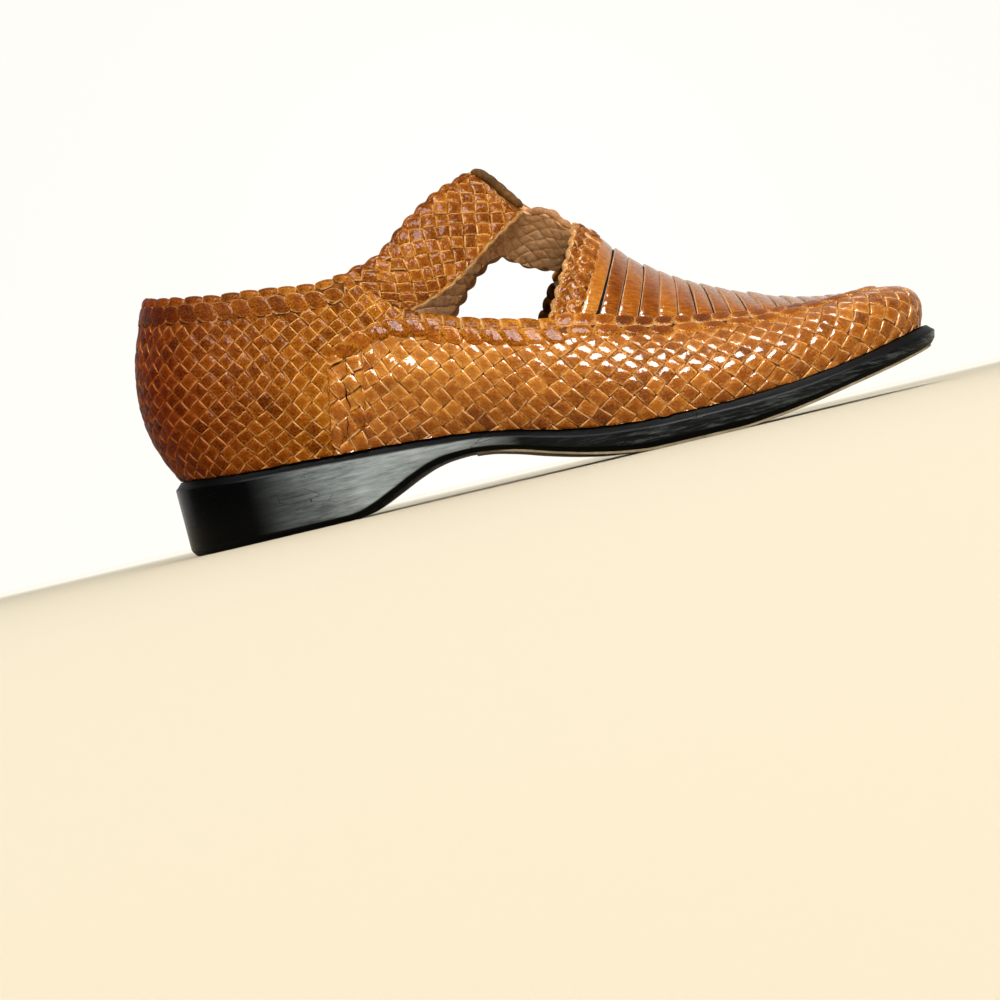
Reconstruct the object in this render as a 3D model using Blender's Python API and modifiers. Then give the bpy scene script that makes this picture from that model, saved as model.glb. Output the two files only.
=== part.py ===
"""Right-foot loafer woven from leather strips, with a strap over the instep and a bar from strap to vamp.

Sizes are in millimetres until points become vertices. The shoe is laid out with x from the back of the heel
to the toe, y from the outer side (negative) to the inner side (positive), and z up from the floor.
The upper is one leather shell drawn over a last. Each rib of the last runs from the feather line, where
upper and sole meet, up to the shoulder line, which is the collar, the lower edge of a side opening or
the edge of the plug over the toes.
"""

import math
from collections import namedtuple

import bmesh
import bpy
import numpy as np

MM = 0.001
COLLECTION = "woven_t_strap_loafer"

# Where the origin lies on the layout: under the middle of the shoe's box, on the floor.
ORIGIN_X = 129.96
ORIGIN_Y = -0.84

SEAM_GAP = 0.3           # clear distance between pieces that touch
UPPER_WALL = 2.0
INSOLE_THICK = 2.6
INSOLE_INSET = 3.2       # from the feather line, so that the insole lies inside the wall
INSOLE_ROUNDING = 0.8
SOLE_LIP = 1.0           # chamfer round the sole's feather edge
SOLE_DRAFT = 0.8         # how far the sole's side leans in towards the floor
SOLE_EDGE = 1.1          # bevel at the foot of the side
TREAD_PROUD = 0.6        # how far the tread stands below the sole's rim
TREAD_THICK = 1.6
TREAD_INSET = 3.6        # from the sole's widest line to the tread's edge
TREAD_START = 101.0      # on the arch, in front of the heel breast
POCKET_WALL = 0.5        # run of the tread pocket's rear wall
POCKET_SLOPE = 0.03

HEEL_ROUND = 27.0        # length of the rounded back of the heel
HEEL_POWER = 2.15
TOE_START = 206.0        # where the outline starts to close round the toe
TOE_POWER = 2.8          # over 2 is squarer than an ellipse: a soft chisel toe
FEATHER_BACK = 1.4
FEATHER_FRONT = 262.0
COLLAR_BACK = 3.0
PLUG_FRONT = 243.0
PLUG_POWER = 2.2

OUTER_THROAT = 136.5     # where the plug's rear edge meets the outer shoulder line
INNER_THROAT = 133.2
OUTER_STRAP = (73.0, 91.0)    # the strap's root on the outer shoulder line, rear and front
INNER_STRAP = (76.0, 99.0)
BAR_ON_THROAT = (-0.29, 0.57)  # the bar's edges on the throat rib, -1 outer shoulder to 1 inner shoulder

HEEL_STEPS = 7           # ribs round the back of the heel, on each side
TOE_STEPS = 12           # ribs round the toe, on each side
PLUG_STEPS = 11          # ribs of the plug behind the toe
WALL_STEPS = 9           # levels from feather line to shoulder line
STRAP_STEPS = 6          # faces across strap and bar
THROAT_SIDE_STEPS = 4    # faces on the throat rib beside the bar
SPAN_STEPS = 3           # faces along the strap between two rows of its table

Feather = namedtuple("Feather", "at outer inner centre height")
FEATHER_LINE = [
    Feather(0, 29.5, 29.5, 0.0, 26.3),
    Feather(11, 29.8, 29.5, 0.0, 24.9),
    Feather(27, 30.2, 29.3, 0.0, 23.2),
    Feather(46, 29.4, 27.9, 0.0, 22.6),
    Feather(66, 28.8, 25.8, 0.0, 21.6),
    Feather(86, 28.8, 24.6, 0.0, 20.5),
    Feather(99, 29.8, 24.9, 0.0, 19.4),
    Feather(112, 31.8, 26.2, 0.0, 17.5),
    Feather(125, 34.8, 28.6, 0.0, 14.6),
    Feather(137, 37.6, 31.4, 0.0, 12.0),
    Feather(150, 40.6, 35.0, 0.0, 10.3),
    Feather(165, 42.9, 38.4, 0.0, 9.4),
    Feather(185, 43.2, 40.6, 0.3, 9.5),
    Feather(206, 40.9, 40.0, 1.0, 10.6),
    Feather(232, 36.6, 37.0, 2.4, 14.0),
    Feather(248, 34.0, 34.6, 3.2, 17.2),
    Feather(262, 32.0, 32.6, 3.6, 20.2),
]

# The lower edge of the sole unit: a flat heel, its breast, the arch, the flat of the ball and the toe spring.
Rim = namedtuple("Rim", "at height overhang")
SOLE_RIM = [
    Rim(0, 0.0, 3.0),
    Rim(57, 0.0, 1.5),
    Rim(61, 0.5, 1.5),
    Rim(65, 1.7, 1.5),
    Rim(73, 5.1, 1.5),
    Rim(81, 8.7, 1.6),
    Rim(88, 11.2, 1.7),
    Rim(94, 12.3, 1.8),
    Rim(100, 12.6, 1.9),
    Rim(107, 12.1, 2.0),
    Rim(116, 10.2, 2.0),
    Rim(128, 6.6, 2.0),
    Rim(140, 3.5, 2.0),
    Rim(150, 1.6, 2.0),
    Rim(160, 0.6, 2.0),
    Rim(187, 0.6, 2.2),
    Rim(197, 1.4, 2.4),
    Rim(210, 3.1, 2.8),
    Rim(226, 6.0, 3.4),
    Rim(242, 9.0, 4.0),
    Rim(254, 11.6, 4.4),
    Rim(262, 13.6, 4.5),
]

# How a rib of the wall leaves the feather line and how it reaches the shoulder line.
Bulge = namedtuple("Bulge", "at low_out low_up high_out high_down")
WALL_BULGE = [
    Bulge(0, 11.0, 18, 13.0, 26),
    Bulge(27, 6.0, 18, 10.0, 24),
    Bulge(60, 5.5, 17, 6.5, 20),
    Bulge(90, 7.0, 14, 6.5, 13),
    Bulge(115, 8.0, 12, 8.5, 9),
    Bulge(140, 8.0, 12, 9.5, 10),
    Bulge(165, 6.5, 13, 11.0, 9),
    Bulge(200, 5.0, 12, 12.0, 6.5),
    Bulge(240, 4.5, 11, 17.0, 0.0),
    Bulge(262, 5.0, 11, 20.0, -1.0),
]

Shoulder = namedtuple("Shoulder", "at half height")
OUTER_SHOULDER = [
    Shoulder(3, 24.0, 90.0),
    Shoulder(10, 24.3, 87.0),
    Shoulder(18, 24.7, 84.9),
    Shoulder(30, 25.3, 82.5),
    Shoulder(42, 26.3, 81.2),
    Shoulder(54, 27.3, 79.5),
    Shoulder(65, 28.3, 78.3),
    Shoulder(73, 29.0, 79.0),
    Shoulder(79, 29.5, 74.4),
    Shoulder(85, 30.0, 68.2),
    Shoulder(91, 30.5, 62.7),
    Shoulder(102, 31.5, 58.2),
    Shoulder(114, 32.5, 54.3),
    Shoulder(127, 33.3, 50.8),
    Shoulder(136.5, 33.6, 48.8),
    Shoulder(145, 33.0, 47.5),
    Shoulder(153, 32.0, 45.4),
    Shoulder(165, 30.0, 42.2),
    Shoulder(178, 28.0, 39.8),
    Shoulder(198, 25.2, 36.9),
    Shoulder(211, 23.8, 35.4),
    Shoulder(224, 21.6, 34.9),
    Shoulder(236, 20.4, 35.5),
    Shoulder(243, 20.0, 36.6),
]
INNER_SHOULDER = [
    Shoulder(3, 24.0, 90.0),
    Shoulder(10, 24.3, 87.0),
    Shoulder(18, 24.6, 84.9),
    Shoulder(30, 25.0, 82.5),
    Shoulder(42, 25.6, 81.2),
    Shoulder(54, 26.4, 79.5),
    Shoulder(65, 27.2, 78.5),
    Shoulder(76, 27.9, 79.0),
    Shoulder(84, 28.4, 73.4),
    Shoulder(92, 28.9, 66.0),
    Shoulder(99, 29.4, 60.0),
    Shoulder(107, 29.9, 57.0),
    Shoulder(117, 30.5, 54.0),
    Shoulder(126, 31.0, 51.5),
    Shoulder(133.2, 31.2, 49.8),
    Shoulder(145, 30.9, 47.6),
    Shoulder(153, 30.2, 45.8),
    Shoulder(165, 28.8, 42.6),
    Shoulder(178, 27.2, 40.2),
    Shoulder(198, 25.0, 37.2),
    Shoulder(211, 23.8, 35.6),
    Shoulder(224, 21.8, 35.0),
    Shoulder(236, 20.6, 35.5),
    Shoulder(243, 20.0, 36.6),
]

# The crown of the vamp: lean is how far each rib of the plug leans forward from shoulder to crown.
Lean = namedtuple("Lean", "at lean")
PLUG_LEAN = [
    Lean(136.5, 18.0),
    Lean(146, 15.0),
    Lean(160, 10.5),
    Lean(171, 7.0),
    Lean(188, 1.5),
    Lean(200, 0.0),
    Lean(243, 0.0),
]
Crown = namedtuple("Crown", "at height")
CROWN_LINE = [
    Crown(153, 83.2),
    Crown(159, 77.0),
    Crown(165, 70.2),
    Crown(173, 63.0),
    Crown(186, 54.3),
    Crown(198, 48.5),
    Crown(212, 43.0),
    Crown(222, 39.8),
    Crown(232, 37.8),
    Crown(243, 36.6),
]
CROWN_POWER = 2.0

# The strap stands slack: the outer arm leans inward up to a crease, and what lies beyond the crease has
# dropped back towards the inner side. Each row gives the two edges of the leather as (x, y, z).
ArmRow = namedtuple("ArmRow", "rear front")
OUTER_ARM = [
    ArmRow((86.0, -26.2, 82.9), (101.0, -28.2, 65.8)),
    ArmRow((97.5, -20.6, 92.6), (111.5, -23.4, 71.4)),
    ArmRow((110.5, -13.2, 101.6), (123.5, -16.4, 80.6)),
    ArmRow((125.0, -5.0, 107.4), (138.5, -8.0, 91.0)),
]
INNER_SHEET = [
    ArmRow((87.5, 24.6, 87.0), (107.0, 27.0, 66.0)),
    ArmRow((100.0, 17.5, 95.4), (114.5, 23.0, 73.6)),
    ArmRow((113.0, 7.0, 102.6), (121.5, 18.5, 78.6)),
    ArmRow((125.0, -5.0, 107.4), (127.0, 15.5, 80.4)),
    ArmRow((138.5, -8.0, 91.0), (131.0, 15.0, 79.0)),
    ArmRow((146.0, -9.6, 87.6), (136.5, 16.5, 75.6)),
]
CREASE_ROW = 3           # the inner sheet's row at the rear end of the crease
STRAP_CROWNING = 1.4     # how far the strap's middle stands out from its edges

Finish = namedtuple("Finish", "name colour roughness")
WOVEN_LEATHER = Finish("woven_leather", (0.36, 0.115, 0.022, 1), 0.35)
BLACK_UNIT = Finish("black_moulded_sole", (0.012, 0.013, 0.015, 1), 0.4)
TAN_TREAD = Finish("tan_tread", (0.42, 0.29, 0.16, 1), 0.7)
SOCK_LEATHER = Finish("olive_sock_leather", (0.12, 0.095, 0.05, 1), 0.6)


def smooth(rows, column, x):
    """Value of a table's column at x: a cubic through the rows that never overshoots them."""
    at = np.array([row.at for row in rows], float)
    value = np.array([getattr(row, column) for row in rows], float)
    step = np.diff(at)
    rise = np.diff(value) / step
    slope = np.zeros(len(at))
    slope[0] = rise[0]
    slope[-1] = rise[-1]
    for i in range(1, len(at) - 1):
        if rise[i - 1] * rise[i] > 0:
            before = step[i] + 2 * step[i - 1]
            after = 2 * step[i] + step[i - 1]
            slope[i] = (before + after) / (before / rise[i] + after / rise[i - 1])
    x = min(max(x, at[0]), at[-1])
    i = min(int(np.searchsorted(at, x, side="right")) - 1, len(step) - 1)
    t = (x - at[i]) / step[i]
    return float(
        value[i] * (1 + 2 * t) * (1 - t) ** 2
        + slope[i] * step[i] * t * (1 - t) ** 2
        + value[i + 1] * t * t * (3 - 2 * t)
        + slope[i + 1] * step[i] * t * t * (t - 1)
    )


def closing(distance, length, power):
    """Share of the full half width left at a distance into a rounded end of the given length."""
    ratio = min(max(distance / length, 0.0), 1.0)
    return (1 - ratio ** power) ** (1 / power)


def feather_point(x, side):
    """Point of the feather line at x on one side: -1 outer, 1 inner."""
    half = smooth(FEATHER_LINE, "outer" if side < 0 else "inner", x)
    half *= closing(FEATHER_BACK + HEEL_ROUND - x, HEEL_ROUND, HEEL_POWER)
    half *= closing(x - TOE_START, FEATHER_FRONT - TOE_START, TOE_POWER)
    return np.array([x, smooth(FEATHER_LINE, "centre", x) + side * half, smooth(FEATHER_LINE, "height", x)])


def shoulder_point(x, side):
    """Point of the shoulder line at x: collar, lower edge of the side opening, then the plug's edge."""
    table = OUTER_SHOULDER if side < 0 else INNER_SHOULDER
    half = smooth(table, "half", x)
    half *= closing(COLLAR_BACK + HEEL_ROUND - x, HEEL_ROUND, HEEL_POWER)
    half *= closing(x - TOE_START, PLUG_FRONT - TOE_START, PLUG_POWER)
    return np.array([x, smooth(FEATHER_LINE, "centre", x) + side * half, smooth(table, "height", x)])


def heel_stations(back):
    """x of the ribs that fan round the back of the heel, for a line that starts at back."""
    turns = np.linspace(0, math.pi / 2, HEEL_STEPS + 1)
    return [back + HEEL_ROUND * (1 - math.cos(turn)) for turn in turns]


def toe_stations(front):
    """x of the ribs that fan round the toe, for a line that ends at front."""
    turns = np.linspace(0, math.pi / 2, TOE_STEPS + 1)
    return [TOE_START + (front - TOE_START) * math.sin(turn) for turn in turns]


def side_stations(stops):
    """x of the ribs along a side, from stop to stop, each stop with the number of steps up to it."""
    stations = []
    start = stops[0][0]
    for end, steps in stops[1:]:
        stations += [start + (end - start) * i / steps for i in range(1, steps + 1)]
        start = end
    return stations


def rib_stations(strap, throat):
    """(x at the feather line, x at the shoulder line) of every rib of one side, heel to toe."""
    lengthwise = side_stations([
        (COLLAR_BACK + HEEL_ROUND, 0),
        (strap[0], 7),
        (strap[1], STRAP_STEPS),
        (throat, 7),
        (TOE_START, PLUG_STEPS),
    ])
    heel = list(zip(heel_stations(FEATHER_BACK), heel_stations(COLLAR_BACK)))
    toe = list(zip(toe_stations(FEATHER_FRONT), toe_stations(PLUG_FRONT)))
    return heel + [(x, x) for x in lengthwise] + toe[1:]


def sole_stations():
    """x of the stations of the sole's pieces, the same on both sides."""
    lengthwise = side_stations([
        (FEATHER_BACK + HEEL_ROUND, 0),
        (57.0, 4),
        (TREAD_START, 9),
        (TREAD_START + POCKET_WALL, 1),
        (160.0, 9),
        (187.0, 3),
        (TOE_START, 3),
    ])
    return heel_stations(FEATHER_BACK) + lengthwise + toe_stations(FEATHER_FRONT)[1:]


def outward(x, side):
    """Plan direction that points out of the feather line at x."""
    reach = 0.05
    if x <= FEATHER_BACK + reach:
        return np.array([-1.0, 0.0, 0.0])
    if x >= FEATHER_FRONT - reach:
        return np.array([1.0, 0.0, 0.0])
    along = feather_point(x + reach, side) - feather_point(x - reach, side)
    normal = np.array([along[1], -along[0], 0.0]) * -side
    return normal / np.linalg.norm(normal)


def wall_rib(foot_x, top_x, side):
    """Points of one rib of the wall, from the feather line up to the shoulder line."""
    foot = feather_point(foot_x, side) + np.array([0, 0, SEAM_GAP])
    top = shoulder_point(top_x, side)
    out = outward(foot_x, side)
    up = np.array([0.0, 0.0, 1.0])
    low = foot + out * smooth(WALL_BULGE, "low_out", foot_x) + up * smooth(WALL_BULGE, "low_up", foot_x)
    high = top + out * smooth(WALL_BULGE, "high_out", foot_x) - up * smooth(WALL_BULGE, "high_down", foot_x)
    rib = []
    for t in np.linspace(0, 1, WALL_STEPS + 1):
        rest = 1 - t
        rib.append(rest ** 3 * foot + 3 * rest * rest * t * low + 3 * rest * t * t * high + t ** 3 * top)
    return rib


def plug_rib(outer_x, inner_x, shares):
    """Points of one rib of the plug at the given shares of its half width, -1 outer to 1 inner."""
    outer = shoulder_point(outer_x, -1)
    inner = shoulder_point(inner_x, 1)
    crown_x = outer_x + smooth(PLUG_LEAN, "lean", outer_x)
    crown = np.array([crown_x, (outer[1] + inner[1]) / 2, smooth(CROWN_LINE, "height", crown_x)])
    lift = crown - (outer + inner) / 2
    return [outer + (inner - outer) * (s + 1) / 2 + lift * (1 - abs(s) ** CROWN_POWER) for s in shares]


def throat_shares():
    """Shares across a plug rib, with a point at each edge of the bar."""
    outer_edge, inner_edge = BAR_ON_THROAT
    before = np.linspace(-1, outer_edge, THROAT_SIDE_STEPS + 1)
    bar = np.linspace(outer_edge, inner_edge, STRAP_STEPS + 1)
    after = np.linspace(inner_edge, 1, THROAT_SIDE_STEPS + 1)
    return list(before) + list(bar[1:]) + list(after[1:])


def curve_through(points, steps):
    """Smooth curve through the points, with the given number of steps in each span."""
    points = [np.array(p, float) for p in points]
    ends = [2 * points[0] - points[1]] + points + [2 * points[-1] - points[-2]]
    curve = [points[0]]
    for i, count in enumerate(steps):
        a, b, c, d = ends[i:i + 4]
        for t in np.linspace(0, 1, count + 1)[1:]:
            curve.append(0.5 * (2 * b + (c - a) * t + (2 * a - 5 * b + 4 * c - d) * t * t
                                + (3 * b - a - 3 * c + d) * t ** 3))
    return curve


def arm_sheet(rows, root, steps, crowning_sign):
    """Grid of a strap between its rear and front edges. root is the row of points it grows from."""
    rear = curve_through([root[0]] + [row.rear for row in rows], steps)
    front = curve_through([root[-1]] + [row.front for row in rows], steps)
    grid = [list(root)]
    count = len(rear) - 1
    for i in range(1, count + 1):
        along = rear[i] - rear[i - 1] + front[i] - front[i - 1]
        across = front[i] - rear[i]
        normal = np.cross(along, across) * crowning_sign
        normal /= max(np.linalg.norm(normal), 1e-9)
        crowning = STRAP_CROWNING * math.sin(math.pi * i / count)
        shares = np.linspace(0, 1, STRAP_STEPS + 1)
        grid.append([rear[i] + across * s + normal * crowning * math.sin(math.pi * s) for s in shares])
    return grid


def place(point):
    """Layout point in millimetres to a position in metres in the shoe's own frame."""
    return ((point[0] - ORIGIN_X) * MM, (point[1] - ORIGIN_Y) * MM, point[2] * MM)


def add_grid(mesh, grid):
    """Adds the faces between neighbouring rows of points, turned so that row x column points out."""
    vertices = [[mesh.verts.new(place(point)) for point in row] for row in grid]
    for row, following in zip(vertices, vertices[1:]):
        for j in range(len(row) - 1):
            mesh.faces.new((row[j], following[j], following[j + 1], row[j + 1]))


def weld(mesh, distance=0.00002):
    """Joins the vertices that two grids share and drops the faces that close to a line."""
    bmesh.ops.remove_doubles(mesh, verts=mesh.verts, dist=distance)
    bmesh.ops.dissolve_degenerate(mesh, edges=mesh.edges, dist=distance)


def add_object(name, mesh, finish):
    """Turns a bmesh into a named object of the shoe, smooth shaded, with its own material."""
    data = bpy.data.meshes.new(name)
    mesh.to_mesh(data)
    mesh.free()
    material = bpy.data.materials.new(finish.name)
    material.use_nodes = True
    shader = material.node_tree.nodes["Principled BSDF"]
    shader.inputs["Base Color"].default_value = finish.colour
    shader.inputs["Roughness"].default_value = finish.roughness
    data.materials.append(material)
    data.shade_smooth()
    data.set_sharp_from_angle(angle=math.radians(40))
    piece = bpy.data.objects.new(name, data)
    bpy.data.collections[COLLECTION].objects.link(piece)
    return piece


def make_upper():
    """The whole upper: wall, plug, both arms of the strap and the bar, as one shell open underneath."""
    outer_stations = rib_stations(OUTER_STRAP, OUTER_THROAT)
    inner_stations = rib_stations(INNER_STRAP, INNER_THROAT)
    outer = [wall_rib(foot, top, -1) for foot, top in outer_stations]
    inner = [wall_rib(foot, top, 1) for foot, top in inner_stations]
    wall = outer + inner[::-1][1:]

    plug_count = PLUG_STEPS + TOE_STEPS + 1
    plug_tops = zip(outer_stations[-plug_count:], inner_stations[-plug_count:])
    plug = [plug_rib(top, inner_top, throat_shares()) for (_, top), (_, inner_top) in plug_tops]

    outer_root = strap_root(outer, OUTER_STRAP)
    inner_root = strap_root(inner, INNER_STRAP)
    outer_arm = arm_sheet(OUTER_ARM, outer_root, [SPAN_STEPS] * len(OUTER_ARM), -1)
    throat = plug[0][THROAT_SIDE_STEPS:THROAT_SIDE_STEPS + STRAP_STEPS + 1]
    inner_rows = INNER_SHEET + [ArmRow(tuple(throat[0]), tuple(throat[-1]))]
    inner_steps = [SPAN_STEPS] * len(inner_rows)
    inner_steps[CREASE_ROW + 1] = STRAP_STEPS
    inner_sheet = arm_sheet(inner_rows, inner_root, inner_steps, 1)
    inner_sheet[-1] = throat
    crease_start = SPAN_STEPS * (CREASE_ROW + 1)
    for i, point in enumerate(outer_arm[-1]):
        inner_sheet[crease_start + i][0] = point

    mesh = bmesh.new()
    add_grid(mesh, wall)
    add_grid(mesh, plug)
    add_grid(mesh, [list(column) for column in zip(*outer_arm)])
    add_grid(mesh, inner_sheet)
    weld(mesh)
    upper = add_object("upper", mesh, WOVEN_LEATHER)
    shell = upper.modifiers.new("leather_thickness", "SOLIDIFY")
    shell.thickness = UPPER_WALL * MM
    shell.offset = -1
    return upper


def strap_root(ribs, strap):
    """The shoulder points that a strap grows from, rear to front."""
    tops = [rib[-1] for rib in ribs]
    rear = int(np.argmin([abs(top[0] - strap[0]) for top in tops]))
    return tops[rear:rear + STRAP_STEPS + 1]


def outline(offset, height, stations=None):
    """Ring of points, outer side heel to toe and inner side back: the feather line moved out by offset(x)."""
    ring = []
    stations = stations or sole_stations()
    for side, order in ((-1, stations), (1, stations[::-1])):
        for x in order:
            point = feather_point(x, side) + outward(x, side) * offset(x)
            ring.append((point[0], point[1], height(x)))
    return ring


def add_stack(mesh, rings):
    """Closed solid from rings of equal length, listed from the top down, capped across at both ends."""
    levels = [[mesh.verts.new(place(point)) for point in ring] for ring in rings]
    count = len(rings[0])
    for above, below in zip(levels, levels[1:]):
        for i in range(count):
            following = (i + 1) % count
            mesh.faces.new((below[i], below[following], above[following], above[i]))
    for i in range(count // 2 - 1):
        strip = (i, i + 1, count - 2 - i, count - 1 - i)
        mesh.faces.new([levels[0][k] for k in strip])
        mesh.faces.new([levels[-1][k] for k in reversed(strip)])
    weld(mesh)


def rim_height(x):
    return smooth(SOLE_RIM, "height", x)


def overhang(x):
    return smooth(SOLE_RIM, "overhang", x)


def feather_height(x):
    return smooth(FEATHER_LINE, "height", x)


def pocket_roof(x):
    """Height of the recess that takes the tread; behind the arch there is none."""
    depth = TREAD_THICK - TREAD_PROUD + SEAM_GAP if x > TREAD_START else 0.0
    return rim_height(x) + depth


def make_sole_unit():
    """Sole and heel moulded in one, with a chamfered lip round the feather edge and a recess for the tread."""
    pocket_inset = TREAD_INSET - SEAM_GAP
    mesh = bmesh.new()
    add_stack(mesh, [
        outline(lambda x: overhang(x) - SOLE_LIP, feather_height),
        outline(overhang, lambda x: feather_height(x) - SOLE_LIP),
        outline(lambda x: overhang(x) - SOLE_DRAFT / 2, lambda x: (feather_height(x) + rim_height(x)) / 2),
        outline(lambda x: overhang(x) - SOLE_DRAFT, lambda x: rim_height(x) + SOLE_EDGE),
        outline(lambda x: overhang(x) - SOLE_DRAFT - SOLE_EDGE, rim_height),
        outline(lambda x: overhang(x) - pocket_inset, rim_height),
        outline(lambda x: overhang(x) - pocket_inset - POCKET_SLOPE, pocket_roof),
    ])
    return add_object("sole_unit", mesh, BLACK_UNIT)


def make_tread():
    """Thin tread let into the underside of the forepart. The flat of the ball stands on the floor."""
    stations = [x for x in sole_stations() if x > TREAD_START + POCKET_WALL / 2]
    stations[0] += SEAM_GAP
    mesh = bmesh.new()
    add_stack(mesh, [
        outline(lambda x: overhang(x) - TREAD_INSET, lambda x: rim_height(x) + TREAD_THICK - TREAD_PROUD,
                stations),
        outline(lambda x: overhang(x) - TREAD_INSET, lambda x: rim_height(x) - TREAD_PROUD, stations),
    ])
    return add_object("tread", mesh, TAN_TREAD)


def make_insole():
    """Leather-covered insole that lies on the sole unit inside the wall."""
    def top(x):
        return feather_height(x) + SEAM_GAP + INSOLE_THICK

    mesh = bmesh.new()
    add_stack(mesh, [
        outline(lambda x: -INSOLE_INSET - INSOLE_ROUNDING, top),
        outline(lambda x: -INSOLE_INSET, lambda x: top(x) - INSOLE_ROUNDING),
        outline(lambda x: -INSOLE_INSET, lambda x: feather_height(x) + SEAM_GAP),
    ])
    return add_object("insole", mesh, SOCK_LEATHER)


def main():
    for old in list(bpy.data.objects):
        bpy.data.objects.remove(old)
    collection = bpy.data.collections.new(COLLECTION)
    bpy.context.scene.collection.children.link(collection)
    make_upper()
    make_sole_unit()
    make_tread()
    make_insole()


main()
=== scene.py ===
"""Woven loafer for the right foot, with a slack strap over the instep and a bar from strap to vamp.

Lengths are in millimetres on the shoe's own layout until place() turns them into metres: x from the back
of the heel to the toe, y from the outer side (negative) to the inner side, z up from the floor. The upper
is drawn over the same last as the solids, and its strips, braids and linings are laid on that surface.
"""

import math
from collections import namedtuple
from functools import partial

import bpy
import numpy as np
from mathutils import Matrix, Vector


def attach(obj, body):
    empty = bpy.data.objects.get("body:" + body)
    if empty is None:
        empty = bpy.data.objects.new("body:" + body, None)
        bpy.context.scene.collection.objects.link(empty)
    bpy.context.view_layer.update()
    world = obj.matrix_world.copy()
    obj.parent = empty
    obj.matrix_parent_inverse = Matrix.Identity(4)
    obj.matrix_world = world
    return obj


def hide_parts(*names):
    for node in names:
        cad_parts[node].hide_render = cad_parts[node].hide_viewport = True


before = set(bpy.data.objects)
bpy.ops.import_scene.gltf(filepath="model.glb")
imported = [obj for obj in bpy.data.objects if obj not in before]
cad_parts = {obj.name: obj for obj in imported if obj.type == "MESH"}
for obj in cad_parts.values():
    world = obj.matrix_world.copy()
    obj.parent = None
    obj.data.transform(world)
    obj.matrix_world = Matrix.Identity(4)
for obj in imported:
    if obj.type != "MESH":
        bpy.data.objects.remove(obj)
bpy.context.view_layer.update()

MM = 0.001
ORIGIN = np.array([129.96, -0.84, 0.0])   # the layout point under the middle of the shoe's box
UP = np.array([0.0, 0.0, 1.0])
OUTER_SIDE, INNER_SIDE = -1, 1

# ---------------------------------------------------------------------------------------------------------
# The last: the same tables as the solids are built from
# ---------------------------------------------------------------------------------------------------------

SEAM_GAP = 0.3
UPPER_WALL = 2.0
INSOLE_THICK = 2.6
INSOLE_INSET = 3.2
HEEL_ROUND = 27.0
HEEL_POWER = 2.15
TOE_START = 206.0
TOE_POWER = 2.8
FEATHER_BACK = 1.4
FEATHER_FRONT = 262.0
COLLAR_BACK = 3.0
PLUG_FRONT = 243.0
PLUG_POWER = 2.2
OUTER_THROAT = 136.5
INNER_THROAT = 133.2
OUTER_STRAP = (73.0, 91.0)
INNER_STRAP = (76.0, 99.0)
BAR_ON_THROAT = (-0.29, 0.57)
CREASE_ROW = 3
STRAP_CROWNING = 1.4
TREAD_START = 101.0


def table(fields, rows):
    """Rows of a table, with their values named."""
    row = namedtuple("Row", fields)
    return [row(*values) for values in rows]


FEATHER_LINE = table("at outer inner centre height", [
    (0, 29.5, 29.5, 0.0, 26.3), (11, 29.8, 29.5, 0.0, 24.9), (27, 30.2, 29.3, 0.0, 23.2),
    (46, 29.4, 27.9, 0.0, 22.6), (66, 28.8, 25.8, 0.0, 21.6), (86, 28.8, 24.6, 0.0, 20.5),
    (99, 29.8, 24.9, 0.0, 19.4), (112, 31.8, 26.2, 0.0, 17.5), (125, 34.8, 28.6, 0.0, 14.6),
    (137, 37.6, 31.4, 0.0, 12.0), (150, 40.6, 35.0, 0.0, 10.3), (165, 42.9, 38.4, 0.0, 9.4),
    (185, 43.2, 40.6, 0.3, 9.5), (206, 40.9, 40.0, 1.0, 10.6), (232, 36.6, 37.0, 2.4, 14.0),
    (248, 34.0, 34.6, 3.2, 17.2), (262, 32.0, 32.6, 3.6, 20.2),
])
SOLE_RIM = table("at height overhang", [
    (0, 0.0, 3.0), (57, 0.0, 1.5), (61, 0.5, 1.5), (65, 1.7, 1.5), (73, 5.1, 1.5), (81, 8.7, 1.6),
    (88, 11.2, 1.7), (94, 12.3, 1.8), (100, 12.6, 1.9), (107, 12.1, 2.0), (116, 10.2, 2.0), (128, 6.6, 2.0),
    (140, 3.5, 2.0), (150, 1.6, 2.0), (160, 0.6, 2.0), (187, 0.6, 2.2), (197, 1.4, 2.4), (210, 3.1, 2.8),
    (226, 6.0, 3.4), (242, 9.0, 4.0), (254, 11.6, 4.4), (262, 13.6, 4.5),
])
WALL_BULGE = table("at low_out low_up high_out high_down", [
    (0, 11.0, 18, 13.0, 26), (27, 6.0, 18, 10.0, 24), (60, 5.5, 17, 6.5, 20), (90, 7.0, 14, 6.5, 13),
    (115, 8.0, 12, 8.5, 9), (140, 8.0, 12, 9.5, 10), (165, 6.5, 13, 11.0, 9), (200, 5.0, 12, 12.0, 6.5),
    (240, 4.5, 11, 17.0, 0.0), (262, 5.0, 11, 20.0, -1.0),
])
OUTER_SHOULDER = table("at half height", [
    (3, 24.0, 90.0), (10, 24.3, 87.0), (18, 24.7, 84.9), (30, 25.3, 82.5), (42, 26.3, 81.2),
    (54, 27.3, 79.5), (65, 28.3, 78.3), (73, 29.0, 79.0), (79, 29.5, 74.4), (85, 30.0, 68.2),
    (91, 30.5, 62.7), (102, 31.5, 58.2), (114, 32.5, 54.3), (127, 33.3, 50.8), (136.5, 33.6, 48.8),
    (145, 33.0, 47.5), (153, 32.0, 45.4), (165, 30.0, 42.2), (178, 28.0, 39.8), (198, 25.2, 36.9),
    (211, 23.8, 35.4), (224, 21.6, 34.9), (236, 20.4, 35.5), (243, 20.0, 36.6),
])
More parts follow.
